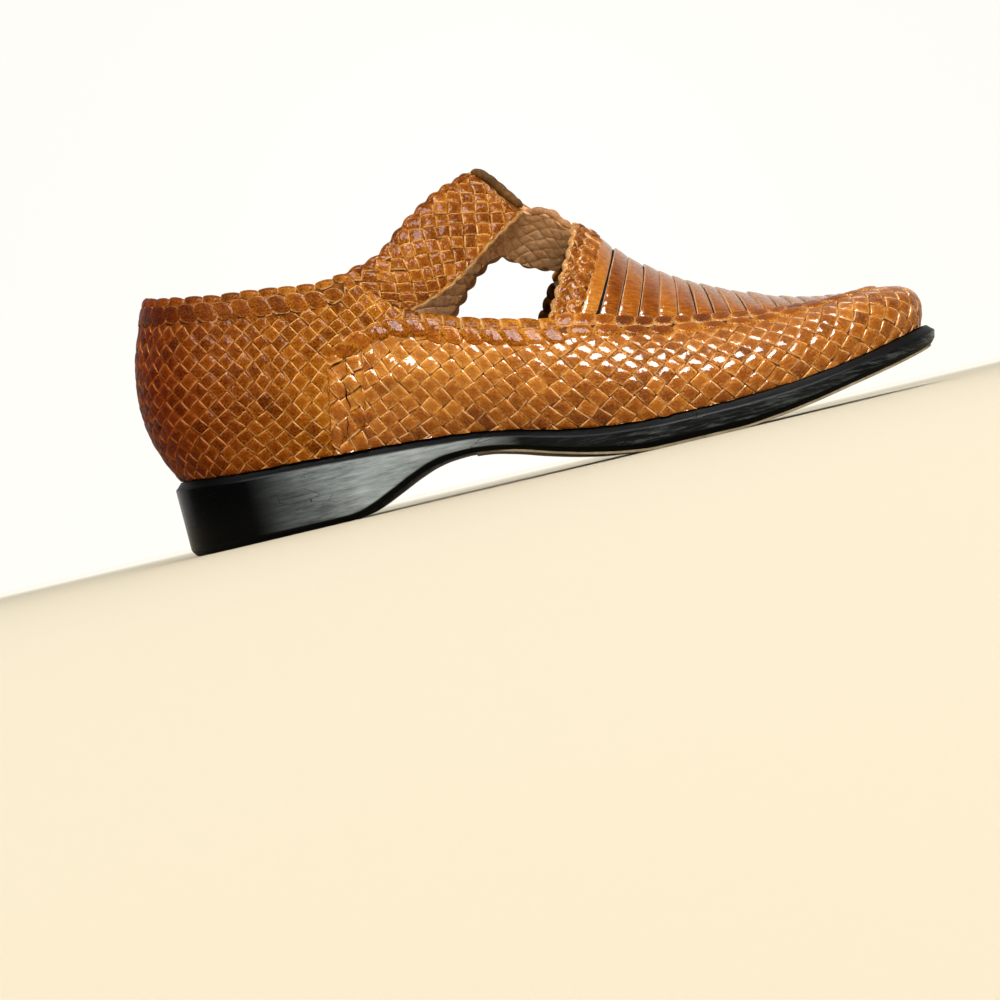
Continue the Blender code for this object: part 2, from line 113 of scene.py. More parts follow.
INNER_SHOULDER = table("at half height", [
    (3, 24.0, 90.0), (10, 24.3, 87.0), (18, 24.6, 84.9), (30, 25.0, 82.5), (42, 25.6, 81.2),
    (54, 26.4, 79.5), (65, 27.2, 78.5), (76, 27.9, 79.0), (84, 28.4, 73.4), (92, 28.9, 66.0),
    (99, 29.4, 60.0), (107, 29.9, 57.0), (117, 30.5, 54.0), (126, 31.0, 51.5), (133.2, 31.2, 49.8),
    (145, 30.9, 47.6), (153, 30.2, 45.8), (165, 28.8, 42.6), (178, 27.2, 40.2), (198, 25.0, 37.2),
    (211, 23.8, 35.6), (224, 21.8, 35.0), (236, 20.6, 35.5), (243, 20.0, 36.6),
])
PLUG_LEAN = table("at lean", [
    (136.5, 18.0), (146, 15.0), (160, 10.5), (171, 7.0), (188, 1.5), (200, 0.0), (243, 0.0),
])
CROWN_LINE = table("at height", [
    (153, 83.2), (159, 77.0), (165, 70.2), (173, 63.0), (186, 54.3), (198, 48.5), (212, 43.0),
    (222, 39.8), (232, 37.8), (243, 36.6),
])
ARM_FIELDS = "rear front"
OUTER_ARM = table(ARM_FIELDS, [
    ((86.0, -26.2, 82.9), (101.0, -28.2, 65.8)),
    ((97.5, -20.6, 92.6), (111.5, -23.4, 71.4)),
    ((110.5, -13.2, 101.6), (123.5, -16.4, 80.6)),
    ((125.0, -5.0, 107.4), (138.5, -8.0, 91.0)),
])
INNER_ARM = table(ARM_FIELDS, [
    ((87.5, 24.6, 87.0), (107.0, 27.0, 66.0)),
    ((100.0, 17.5, 95.4), (114.5, 23.0, 73.6)),
    ((113.0, 7.0, 102.6), (121.5, 18.5, 78.6)),
    ((125.0, -5.0, 107.4), (127.0, 15.5, 80.4)),
    ((138.5, -8.0, 91.0), (131.0, 15.0, 79.0)),
    ((146.0, -9.6, 87.6), (136.5, 16.5, 75.6)),
])


def smooth(rows, column, x):
    """Value of a table's column at x: a cubic through the rows that never overshoots them."""
    at = np.array([row.at for row in rows], float)
    value = np.array([getattr(row, column) for row in rows], float)
    step = np.diff(at)
    rise = np.diff(value) / step
    slope = np.zeros(len(at))
    slope[0] = rise[0]
    slope[-1] = rise[-1]
    for i in range(1, len(at) - 1):
        if rise[i - 1] * rise[i] > 0:
            before = step[i] + 2 * step[i - 1]
            after = 2 * step[i] + step[i - 1]
            slope[i] = (before + after) / (before / rise[i - 1] + after / rise[i])
    x = np.clip(x, at[0], at[-1])
    i = np.clip(np.searchsorted(at, x, side="right") - 1, 0, len(step) - 1)
    t = (x - at[i]) / step[i]
    return (
        value[i] * (1 + 2 * t) * (1 - t) ** 2
        + slope[i] * step[i] * t * (1 - t) ** 2
        + value[i + 1] * t * t * (3 - 2 * t)
        + slope[i + 1] * step[i] * t * t * (t - 1)
    )


def closing(distance, length, power):
    """Share of the full half width left at a distance into a rounded end of the given length."""
    ratio = np.clip(distance / length, 0.0, 1.0)
    return (1 - ratio ** power) ** (1 / power)


def line_point(x, side, half, height, back, front, toe_power):
    """Point of a line round the last: its half width at x is drawn in round the heel and round the toe."""
    half = half * closing(back + HEEL_ROUND - x, HEEL_ROUND, HEEL_POWER)
    half = half * closing(x - TOE_START, front - TOE_START, toe_power)
    return np.array([x, smooth(FEATHER_LINE, "centre", x) + side * half, height])


def feather_point(x, side):
    """Point of the feather line, where upper meets sole, at x on one side."""
    half = smooth(FEATHER_LINE, "outer" if side < 0 else "inner", x)
    height = smooth(FEATHER_LINE, "height", x)
    return line_point(x, side, half, height, FEATHER_BACK, FEATHER_FRONT, TOE_POWER)


def shoulder_point(x, side):
    """Point of the shoulder line at x: collar, lower edge of the side opening, then the plug's edge."""
    rows = OUTER_SHOULDER if side < 0 else INNER_SHOULDER
    half = smooth(rows, "half", x)
    return line_point(x, side, half, smooth(rows, "height", x), COLLAR_BACK, PLUG_FRONT, PLUG_POWER)


def outward(x, side):
    """Plan direction that points out of the feather line at x."""
    reach = 0.05
    if x <= FEATHER_BACK + reach:
        return np.array([-1.0, 0.0, 0.0])
    if x >= FEATHER_FRONT - reach:
        return np.array([1.0, 0.0, 0.0])
    along = feather_point(x + reach, side) - feather_point(x - reach, side)
    normal = np.array([along[1], -along[0], 0.0]) * -side
    return normal / np.linalg.norm(normal)


def wall_rib(foot_x, top_x, side, levels=49):
    """Points of one rib of the wall, from the feather line up to the shoulder line."""
    foot = feather_point(foot_x, side) + np.array([0, 0, SEAM_GAP])
    top = shoulder_point(top_x, side)
    out = outward(foot_x, side)
    low_out, low_up, high_out, high_down = (smooth(WALL_BULGE, column, foot_x)
                                            for column in ("low_out", "low_up", "high_out", "high_down"))
    low = foot + out * low_out + UP * low_up
    high = top + out * high_out - UP * high_down
    t = np.linspace(0, 1, levels)[:, None]
    rest = 1 - t
    return rest ** 3 * foot + 3 * rest * rest * t * low + 3 * rest * t * t * high + t ** 3 * top


def side_stations():
    """(x at the feather line, x at the shoulder line) of close-set ribs of one side, heel to toe."""
    heel = 1 - np.array([math.cos(angle) for angle in np.linspace(0, math.pi / 2, 31)])
    toe = np.array([math.sin(angle) for angle in np.linspace(0, math.pi / 2, 43)[1:]])
    length = np.arange(COLLAR_BACK + HEEL_ROUND + 1.6, TOE_START + 0.8, 1.6)
    length[-1] = TOE_START
    rows = [(FEATHER_BACK + HEEL_ROUND * part, COLLAR_BACK + HEEL_ROUND * part) for part in heel]
    rows += [(x, x) for x in length]
    feather, plug = FEATHER_FRONT - TOE_START, PLUG_FRONT - TOE_START
    return rows + [(TOE_START + feather * part, TOE_START + plug * part) for part in toe]


def inner_plug_x(outer_x):
    """x where a plug rib that starts at outer_x on the outer side meets the inner shoulder line."""
    share = (outer_x - OUTER_THROAT) / (TOE_START - OUTER_THROAT)
    return outer_x if outer_x > TOE_START else INNER_THROAT + (TOE_START - INNER_THROAT) * share


def plug_rib(outer_x, shares):
    """Points of one rib of the plug at the given shares of its half width, -1 outer to 1 inner."""
    outer = shoulder_point(outer_x, OUTER_SIDE)
    inner = shoulder_point(inner_plug_x(outer_x), INNER_SIDE)
    crown_x = outer_x + smooth(PLUG_LEAN, "lean", outer_x)
    crown = np.array([crown_x, (outer[1] + inner[1]) / 2, smooth(CROWN_LINE, "height", crown_x)])
    lift = crown - (outer + inner) / 2
    shares = np.asarray(shares)[:, None]
    return outer + (inner - outer) * (shares + 1) / 2 + lift * (1 - shares ** 2)


ARM_STEPS = 14


def curve_through(points, steps=ARM_STEPS):
    """Smooth curve through the points, with the given number of steps in each span."""
    points = [np.array(p, float) for p in points]
    ends = [2 * points[0] - points[1]] + points + [2 * points[-1] - points[-2]]
    curve = [points[0]]
    for i in range(len(points) - 1):
        a, b, c, d = ends[i:i + 4]
        for t in np.linspace(0, 1, steps + 1)[1:]:
            curve.append(0.5 * (2 * b + (c - a) * t + (2 * a - 5 * b + 4 * c - d) * t * t
                                + (3 * b - a - 3 * c + d) * t ** 3))
    return curve


def arm_grid(rows, root, side, columns=25):
    """Grid of a strap between its rear and front edges, from its root's two ends on the shoulder line."""
    rear = curve_through([shoulder_point(root[0], side)] + [row.rear for row in rows])
    front = curve_through([shoulder_point(root[1], side)] + [row.front for row in rows])
    shares = np.linspace(0, 1, columns)[:, None]
    count = len(rear) - 1
    grid = []
    for i in range(count + 1):
        k = max(i, 1)
        along = rear[k] - rear[k - 1] + front[k] - front[k - 1]
        across = front[i] - rear[i]
        normal = np.cross(along, across) * side
        normal = normal / max(np.linalg.norm(normal), 1e-9)
        crowning = STRAP_CROWNING * math.sin(math.pi * i / count)
        grid.append(rear[i] + across * shares + normal * crowning * np.sin(math.pi * shares))
    return grid


# ---------------------------------------------------------------------------------------------------------
# Sheets: a leather surface with its own measure, so that strips keep their width wherever they run
# ---------------------------------------------------------------------------------------------------------

def unit(vectors):
    return vectors / np.maximum(np.linalg.norm(vectors, axis=-1, keepdims=True), 1e-9)


def running_length(points):
    steps = np.linalg.norm(np.diff(points, axis=0), axis=1)
    return np.concatenate([[0.0], np.cumsum(steps)])


class Sheet:
    """Surface on a grid of points: a is millimetres along its rows, b millimetres across from its first edge.
    start moves the place that b is measured from further across."""

    def __init__(self, grid, turned=1, ring=False, start=0.0):
        self.points = np.array(grid, float)
        self.turned, self.ring, self.start = turned, ring, start
        along = np.gradient(self.points, axis=0)
        if ring:
            along[0] = along[-1] = self.points[1] - self.points[-2]
        across = np.gradient(self.points, axis=1)
        self.normals = unit(np.cross(along, across)) * turned
        middle_column = int(self.points.shape[1] * 0.45)
        self.along = running_length(self.points[:, middle_column])
        self.length = self.along[-1]
        rise = np.linalg.norm(np.diff(self.points, axis=1), axis=2)
        self.across = np.concatenate([np.zeros((len(rise), 1)), np.cumsum(rise, axis=1)], axis=1)

    def row_of(self, a):
        if self.ring:
            a = np.mod(a, self.length)
        return np.interp(a, self.along, np.arange(len(self.along)))

    def width(self, a):
        return np.interp(self.row_of(a), np.arange(len(self.along)), self.across[:, -1])

    def sample(self, row, column, lift=0.0):
        """Point at a fractional row and column, raised along the outward normal."""
        rows, columns = self.points.shape[:2]
        r = np.clip(np.floor(row).astype(int), 0, rows - 2)
        c = np.clip(np.floor(column).astype(int), 0, columns - 2)
        u = np.asarray(row - r)[..., None]
        v = np.asarray(column - c)[..., None]
        blend = []
        for field in (self.points, self.normals):
            near = field[r, c] * (1 - v) + field[r, c + 1] * v
            far = field[r + 1, c] * (1 - v) + field[r + 1, c + 1] * v
            blend.append(near * (1 - u) + far * u)
        return blend[0] + unit(blend[1]) * np.asarray(lift)[..., None]

    def column_of(self, row, b):
        r = np.clip(np.floor(row).astype(int), 0, len(self.along) - 2)
        u = (row - r)[:, None]
        marks = self.across[r] * (1 - u) + self.across[r + 1] * u
        b = np.clip(b, 0, marks[:, -1])
        c = np.clip((marks <= b[:, None]).sum(axis=1) - 1, 0, marks.shape[1] - 2)
        pick = np.arange(len(c))
        low, high = marks[pick, c], marks[pick, c + 1]
        return c + (b - low) / np.maximum(high - low, 1e-9)

    def at(self, a, b, lift=0.0):
        """Point at a, b, raised along the outward normal. Works on arrays of any one shape."""
        a, b = np.broadcast_arrays(np.asarray(a, float), np.asarray(b, float) + self.start)
        row = self.row_of(a.ravel())
        column = self.column_of(row, b.ravel())
        lift = np.broadcast_to(np.asarray(lift, float), a.shape).ravel()
        return self.sample(row, column, lift).reshape(a.shape + (3,))

    def normal(self, a, b):
        return unit(self.at(a, b, 1.0) - self.at(a, b, 0.0))

    def reverse(self, thickness):
        """The other face of the same leather, at its own thickness below."""
        other = Sheet(self.points - self.normals * thickness, 1, self.ring)
        other.normals = -self.normals
        return other

    def creased(self, creases, fading=0.12):
        """The same sheet with soft troughs and ridges pressed into it, fading out at its two long edges."""
        x, y, z = np.moveaxis(self.points, -1, 0)
        total = np.zeros(x.shape)
        for crease in creases:
            angle = math.radians(crease.turn)
            along = (x - crease.x) * math.cos(angle) + (z - crease.z) * math.sin(angle)
            beside = (z - crease.z) * math.cos(angle) - (x - crease.x) * math.sin(angle)
            shape = crease.rise * np.exp(-(along / crease.length) ** 2 - (beside / crease.width) ** 2)
            total += np.where(y * crease.side >= 0, shape, 0)
        share = np.linspace(0, 1, x.shape[1])
        total *= np.clip(share / fading, 0, 1) * np.clip((1 - share) / fading, 0, 1)
        return Sheet(self.points + self.normals * total[..., None], self.turned, self.ring)


CREASE_FIELDS = "side x z turn length width rise"
WALL_CREASES = table(CREASE_FIELDS, [
    (-1, 83, 57.0, 2, 15, 2.4, 0.8),       # ridge from the opening's rear corner to the top of the side seam
    (-1, 66, 39, 80, 13, 1.5, -0.55),      # the seam pulled in, with a roll on each side of it
    (-1, 62, 40, 82, 11, 1.8, 0.4),
    (-1, 70.5, 40, 78, 11, 1.8, 0.5),
    (-1, 75, 49.5, 52, 6, 1.3, 1.0),       # puckers below the ridge, fanning forward from the seam's top
    (-1, 80.5, 48.0, 50, 7, 1.3, 0.95),
    (-1, 86, 47.5, 47, 6, 1.4, 0.8),
    (-1, 92, 47.0, 44, 5, 1.5, 0.55),
    (-1, 77, 45, 35, 8, 1.6, -0.35),
    (-1, 72, 47.5, -28, 3.5, 1.5, 0.8),    # short crosswise buckles that face up to the light
    (-1, 78, 49.5, -25, 4, 1.6, 0.9),
    (-1, 85, 45.5, -22, 4, 1.6, 0.75),
    (-1, 83, 42.0, -6, 12, 3.2, 2.2),      # full roll below them, whose upper side faces the light
    (-1, 118, 44, 8, 16, 3.0, 0.35),       # long soft roll under the opening
    (-1, 171, 36, 118, 10, 2.6, -0.5),     # shallow folds over the ball of the foot
    (-1, 179, 34, 115, 10, 2.6, -0.45),
    (-1, 187, 32, 112, 9, 2.6, -0.4),
    (-1, 175, 37, 117, 8, 2.2, 0.3),
    (-1, 183, 34, 114, 8, 2.2, 0.3),
    (-1, 38, 60, 4, 16, 3.0, -0.35),       # slack below the collar
    (-1, 46, 46, 60, 12, 3.5, 0.35),
    (1, 86, 57.0, -2, 15, 2.4, 0.7),       # the inner side: ridge, seam, puckers, folds over the ball, slack
    (1, 66, 39, 80, 13, 1.5, -0.5),
    (1, 77, 48.5, 50, 7, 1.5, 0.5),
    (1, 84, 47.5, 48, 7, 1.5, 0.45),
    (1, 170, 36, 116, 10, 2.6, -0.45),
    (1, 178, 33, 113, 10, 2.6, -0.4),
    (1, 40, 58, 5, 15, 3.0, -0.3),
])
STRAP_CREASES = table(CREASE_FIELDS, [
    (0, 118, 86, -25, 5, 1.2, 0.5),        # crumples beside the fold at the top
    (0, 112, 88, -35, 5, 1.3, 0.4),
    (0, 121, 80, -50, 5, 1.4, -0.35),
    (0, 92, 68, 35, 8, 1.6, -0.4),         # drag lines where it leaves the wall
    (0, 97, 68, 38, 8, 1.5, 0.4),
    (0, 88, 66, 30, 7, 1.5, 0.4),
])

# The wall is a ring: the outer side from heel to toe, then the inner side back to the heel.
WALL_RIBS = [[wall_rib(foot, top, side) for foot, top in side_stations()]
             for side in (OUTER_SIDE, INNER_SIDE)]
WALL = Sheet(WALL_RIBS[0] + WALL_RIBS[1][::-1][1:], ring=True).creased(WALL_CREASES)
TOE_ROW = len(WALL_RIBS[0])
TOE_AT = WALL.along[TOE_ROW - 1]                 # millimetres round the outer side from heel to toe
PLUG_XS = np.concatenate([np.linspace(OUTER_THROAT, TOE_START, 56),
                          TOE_START + (PLUG_FRONT - TOE_START) * np.sin(np.linspace(0, math.pi / 2, 34)[1:])])
PLUG = Sheet([plug_rib(x, np.linspace(-1, 1, 81)) for x in PLUG_XS[:-1]])
OUTER = Sheet(arm_grid(OUTER_ARM, OUTER_STRAP, OUTER_SIDE), -1).creased(STRAP_CREASES)
BAR_END = table(ARM_FIELDS, [plug_rib(OUTER_THROAT, BAR_ON_THROAT)])
INNER = Sheet(arm_grid(INNER_ARM + BAR_END, INNER_STRAP, INNER_SIDE))
INNER_FLESH = INNER.reverse(UPPER_WALL)


def wall_at(x, side):
    """How far round the wall a point of the shoulder line lies, from its x."""
    rows = np.arange(TOE_ROW) if side < 0 else np.arange(len(WALL.along) - 1, TOE_ROW - 2, -1)
    row = np.interp(x, WALL.points[rows, -1, 0], rows)
    return float(np.interp(row, np.arange(len(WALL.along)), WALL.along))


def plug_row(x):
    return np.interp(x, PLUG_XS, np.arange(len(PLUG_XS)))


def plug_at(x):
    """How far down the plug from the throat a rib lies, from its x on the outer side."""
    return float(np.interp(plug_row(x), np.arange(len(PLUG.along)), PLUG.along))


# ---------------------------------------------------------------------------------------------------------
# Meshes
# ---------------------------------------------------------------------------------------------------------

def place(points):
    """Layout points in millimetres to metres in the shoe's own frame."""
    return (np.asarray(points, float) - ORIGIN) * MM


def add_object(name, data):
    thing = bpy.data.objects.new(name, data)
    bpy.context.scene.collection.objects.link(thing)
    return thing


def add_mark(data, label, values, kind="FLOAT", field="value"):
    """Stores a named value for each vertex."""
    layer = data.attributes.new(label, kind, "POINT")
    layer.data.foreach_set(field, np.asarray(values, np.float32).ravel())


def make_mesh(name, points, faces, marks=None, uv=None):
    """Smooth-shaded object from layout points. marks are named values per vertex; uv is metres per vertex."""
    data = bpy.data.meshes.new(name)
    data.from_pydata(place(points).tolist(), [], [tuple(int(i) for i in face) for face in faces])
    for label, values in (marks or {}).items():
        add_mark(data, label, values)
    if uv is not None:
        corner = np.zeros(len(data.loops), int)
        data.loops.foreach_get("vertex_index", corner)
        layer = data.uv_layers.new(name="strip")
        layer.data.foreach_set("uv", np.asarray(uv, np.float32)[corner].ravel())
    data.shade_smooth()
    return add_object(name, data)


def make_plain(piece):
    """Turns a piece's modifiers into its own plain mesh."""
    bpy.context.view_layer.update()
    shape = bpy.data.meshes.new_from_object(piece.evaluated_get(bpy.context.evaluated_depsgraph_get()))
    piece.modifiers.clear()
    piece.data = shape
    return shape


def grid_faces(rows, columns, start=0):
    """Quads of a grid of vertices numbered row by row, wound so that rows x columns faces out."""
    faces = []
    for first in range(start, start + (rows - 1) * columns, columns):
        faces += [(k, k + columns, k + columns + 1, k + 1) for k in range(first, first + columns - 1)]
    return faces


def finish_piece(piece, material, stands_for=()):
    """Gives a piece its material, rides it on the shoe and hides the solids it stands for."""
    if material is not None:
        piece.data.materials.clear()
        piece.data.materials.append(material)
    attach(piece, "root")
    if stands_for:
        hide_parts(*stands_for)
    return piece


# ---------------------------------------------------------------------------------------------------------
# Finishes
# ---------------------------------------------------------------------------------------------------------

def srgb(code):
    """Linear colour of an sRGB hex value."""
    channels = [int(code[i:i + 2], 16) / 255 for i in (1, 3, 5)]
    return tuple(c / 12.92 if c <= 0.04045 else ((c + 0.055) / 1.055) ** 2.4 for c in channels) + (1.0,)


def add_node(tree, kind, settings=None, links=None):
    """Adds a node, named without the ShaderNode of a shader's, or takes one that is there. settings are its
    properties, or socket values by name or number, with colours as hex. links feed its sockets, each from a
    socket or from the first live output of a node."""
    node = kind
    if isinstance(kind, str):
        node = tree.nodes.new(kind if "Node" in kind else "ShaderNode" + kind)
    for key, value in (settings or {}).items():
        if isinstance(key, str) and hasattr(node, key):
            setattr(node, key, value)
        else:
            node.inputs[key].default_value = srgb(value) if str(value).startswith("#") else value
    for key, source in (links or {}).items():
        if isinstance(source, bpy.types.Node):
            source = next(output for output in source.outputs if output.enabled)
        tree.links.new(source, node.inputs[key])
    return node


def ramp(node, *stops):
    """Sets a colour ramp's stops, given as (position, hex colour)."""
    elements = node.color_ramp.elements
    while len(elements) < len(stops):
        elements.new(1.0)
    for element, (position, colour) in zip(elements, stops):
        element.position = position
        element.color = srgb(colour)
    return node


def spread(start, stop, low=0.0, high=1.0):
    """Settings that turn values from start to stop into values from low to high."""
    return {"From Min": start, "From Max": stop, "To Min": low, "To Max": high}


TIMES = {"operation": "MULTIPLY"}
TIMES_PLUS = {"operation": "MULTIPLY_ADD"}
BLEND = {"data_type": "RGBA"}
DARKEN = {"data_type": "RGBA", "blend_type": "MULTIPLY"}
SOFTLY = {"interpolation_type": "SMOOTHSTEP"}


def new_material(name):
    """A material, a shortcut that adds nodes to it, and its shader."""
    material = bpy.data.materials.new(name)
    material.use_nodes = True
    add = partial(add_node, material.node_tree)
    return material, add, material.node_tree.nodes["Principled BSDF"]


def woven_strip_leather(name, dyes, edge, rough, coat, burnish, heel_shade=0.0, drawn=(1.0, 1.0), crumple=0.9,
                        body=0.05, grazing_sheen=0.0, mottling=3.2, buckled=0.4, glazed=0.06):
    """Glazed calf strip, aniline dyed: each strip took the dye differently, its cut edges stayed pale, and
    the glaze gives sharp small highlights where the weave turns to the light."""
    material, add, shader = new_material(name)
    place_on = add("TexCoord").outputs["Object"]
    tint, rim, sink = (add("Attribute", {"attribute_name": label}).outputs["Fac"]
                       for label in ("tint", "rim", "sink"))
    strip = add("UVMap", {"uv_map": "strip"})
    axes = add("SeparateXYZ", None, {"Vector": place_on}).outputs

    # Dye clouds 6 mm wide run from strip to strip; mottling of 0.8 mm stays within one strip.
    cloud = add("TexNoise", {"Scale": 160.0, "Detail": 2.0}, {"Vector": place_on})
    pull = {"Scale": (drawn[1], drawn[0], 1.0), "Rotation": (0.0, 0.0, 0.35)}
    pulled = add("Mapping", pull, {"Vector": strip})
    mottle = add("TexNoise", {"Scale": 1250.0, "Detail": 4.0, "Roughness": 0.7}, {"Vector": pulled})
    tone = add("Math", {**TIMES_PLUS, 1: 0.45, 2: -0.02}, {0: cloud})
    tone = add("Math", {**TIMES_PLUS, 1: 0.58}, {0: tint, 2: tone})
    mottled = add("Math", {**TIMES_PLUS, 1: mottling, 2: -mottling / 2}, {0: mottle})
    # Between the side seam and the ball of the foot the upper wall is lightened by painted sheen, and its
    # foot is darkened by painted shade.
    ahead = add("MapRange", spread(-0.085, -0.065, 0.0, 0.22), {"Value": axes["X"]})
    behind = add("MapRange", spread(-0.005, 0.035, 1.0, 0.0), {"Value": axes["X"]})
    above = add("MapRange", spread(0.022, 0.042, -0.5), {"Value": axes["Z"]})
    below = add("MapRange", spread(0.052, 0.060, 1.0, 0.0), {"Value": axes["Z"]})
    painted_sheen_and_shade = add("Math", TIMES, {0: add("Math", TIMES, {0: ahead, 1: behind}), 1: below})
    tone = add("Math", TIMES_PLUS, {0: painted_sheen_and_shade, 1: above, 2: tone})
    tone = add("Math", {"operation": "ADD", "use_clamp": True}, {0: tone, 1: mottled})
    colour = ramp(add("ValToRGB", None, {"Fac": tone}), *zip((0.05, 0.5, 0.95), dyes))

    # Rubbing dressing into the weave left each crown darker than the slopes that lead down to its edges.
    brink = add("Math", {"operation": "MAXIMUM"}, {0: rim, 1: sink})
    crown = add("MapRange", spread(0.0, 0.55, burnish, 0.0), {"Value": brink})
    blot = add("MapRange", spread(0.32, 0.6), {"Value": mottle})
    crown = add("Math", TIMES, {0: crown, 1: blot})
    colour = add("Mix", {**DARKEN, 7: "#A8683C"}, {0: crown, 6: colour})

    # Strip ends that dive under their neighbours are darkened: painted shade.
    recess_shade = add("MapRange", spread(0.5, 1.0, 0.0, 0.8), {"Value": sink})
    colour = add("Mix", {**DARKEN, 7: "#9A6440"}, {0: recess_shade, 6: colour})

    # Raw cut edges: the undyed core of the hide shows, more in some places than in others.
    worn = add("TexNoise", {"Scale": 240.0, "Detail": 2.0}, {"Vector": place_on})
    bare = add("MapRange", spread(0.34, 0.60, 0.35), {"Value": worn})
    cut = add("Math", TIMES, {0: add("MapRange", spread(0.52, 0.84), {"Value": rim}), 1: bare})
    # Ahead of the side seam the cut edges were dyed over, so they show paler only here and there.
    dyed = add("MapRange", spread(-0.08, -0.04, 1.0, 0.62), {"Value": axes["X"]})
    cut = add("Math", TIMES, {0: cut, 1: dyed})
    colour = add("Mix", {**BLEND, 7: edge}, {0: cut, 6: colour})

    # The back of the heel and its foot are darkened and reddened, cut edges and all: painted shade.
    heel = add("MapRange", spread(-0.05, -0.125, 0.0, heel_shade), {"Value": axes["X"]})
    colour = add("Mix", {**DARKEN, 7: "#A46C46"}, {0: heel, 6: colour})
    # Painted sheen: the colour pales to pinkish grey where the leather turns away from view, standing in for
    # the bright wall's reflection.
    facing = add("LayerWeight", {"Blend": 0.5}).outputs["Facing"]
    sheen_mask = add("MapRange", spread(0.35, 0.9, 0.0, grazing_sheen), {"Value": facing})
    colour = add("Mix", {**BLEND, 7: "#A0806C"}, {0: sheen_mask, 6: colour})

    # The glaze is uneven: rubbed bright on the crowns, duller in patches and on cut edges.
    patch = add("TexNoise", {"Scale": 420.0, "Detail": 3.0}, {"Vector": place_on})
    gloss = add("MapRange", spread(0.35, 0.68, rough - 0.08, rough + 0.16), {"Value": patch})
    gloss = add("Math", {**TIMES_PLUS, 1: 0.25}, {0: cut, 2: gloss})

    # Grain of about 0.4 mm, and crinkles of 1 to 2 mm where the strip was pulled tight and crushed.
    grain = add("TexNoise", {"Scale": 2400.0, "Detail": 3.0}, {"Vector": strip})
    crinkle = add("TexNoise", {"Scale": 620.0, "Detail": 4.0, "Distortion": 1.1}, {"Vector": strip})
    relief = add("Math", {**TIMES_PLUS, 1: 0.22}, {0: grain, 2: crinkle})
    bump = add("Bump", {"Strength": crumple, "Distance": 0.0007}, {"Height": relief})
    # The clear glaze fills the fine crinkles and follows only buckles of 3 mm, so its highlights stay crisp.
    buckle = add("TexNoise", {"Scale": 300.0, "Detail": 0.0, "Distortion": 1.2}, {"Vector": strip})
    glaze = add("Bump", {"Strength": buckled, "Distance": 0.0008}, {"Height": buckle})
    add(shader, {"Specular IOR Level": body, "Specular Tint": "#FFC890", "Coat Weight": coat,
                 "Coat Roughness": glazed},
        {"Base Color": colour, "Roughness": gloss, "Normal": bump, "Coat Normal": glaze})
    return material


def flesh_side_leather(name, dark, mid, light, rough=0.86):
    """Unglazed side or fold of the strips, napped by wear: matt brown with pale scuffs."""
    material, add, shader = new_material(name)
    place_on = add("TexCoord").outputs["Object"]
    tint = add("Attribute", {"attribute_name": "tint"}).outputs["Fac"]
    # The nap lies in tufts of 1.5 mm, and its single fibres are drawn 0.7 mm coarse to show at all.
    nap = add("TexNoise", {"Scale": 700.0, "Detail": 6.0, "Roughness": 0.7}, {"Vector": place_on})
    tone = add("Math", {**TIMES_PLUS, 1: 0.3}, {0: tint, 2: nap})
    dye = ramp(add("ValToRGB", None, {"Fac": tone}), (0.35, dark), (0.65, mid), (0.95, light))
    fibre = add("TexNoise", {"Scale": 1500.0, "Detail": 4.0}, {"Vector": place_on})
    bump = add("Bump", {"Strength": 0.5, "Distance": 0.0005}, {"Height": fibre})
    add(shader, {"Roughness": rough, "Specular IOR Level": 0.1}, {"Base Color": dye, "Normal": bump})
    return material


def under_leather(name, dark, light):
    """Dressed leather base under the weave, stained in 2 mm spots, seen only as dark lines between strips.
    Made near black, the same finish is painted shade in slits, joins, creases and the far throat lobes.
    """
    material, add, shader = new_material(name)
    place_on = add("TexCoord").outputs["Object"]
    stain = add("TexNoise", {"Scale": 500.0, "Detail": 3.0}, {"Vector": place_on})
    dye = ramp(add("ValToRGB", None, {"Fac": stain}), (0.3, dark), (0.7, light))
    add(shader, {"Roughness": 0.85, "Specular IOR Level": 0.04}, {"Base Color": dye})
    return material


def lining_leather():
    """Vegetable-tanned pigskin lining, rubbed by wear: olive brown, satin, with pores and soft wrinkles."""
    material, add, shader = new_material("olive_lining_leather")
    place_on = add("TexCoord").outputs["Object"]
    # Wear shades in 17 mm clouds, pores lie 1 mm apart and wrinkles 4 to 5 mm.
    wear = add("TexNoise", {"Scale": 60.0, "Detail": 5.0, "Roughness": 0.6}, {"Vector": place_on})
    dye = ramp(add("ValToRGB", None, {"Fac": wear}), (0.2, "#6A5C3E"), (0.55, "#7E6F4E"), (0.9, "#90805C"))
    pores = add("TexVoronoi", {"Scale": 900.0}, {"Vector": place_on})
    wrinkle = add("TexNoise", {"Scale": 220.0, "Detail": 4.0, "Distortion": 1.2}, {"Vector": place_on})
    relief = add("Math", {**TIMES_PLUS, 1: 0.3}, {0: pores, 2: wrinkle})
    bump = add("Bump", {"Strength": 0.35, "Distance": 0.0006}, {"Height": relief})
    add(shader, {"Roughness": 0.55}, {"Base Color": dye, "Normal": bump})
    return material


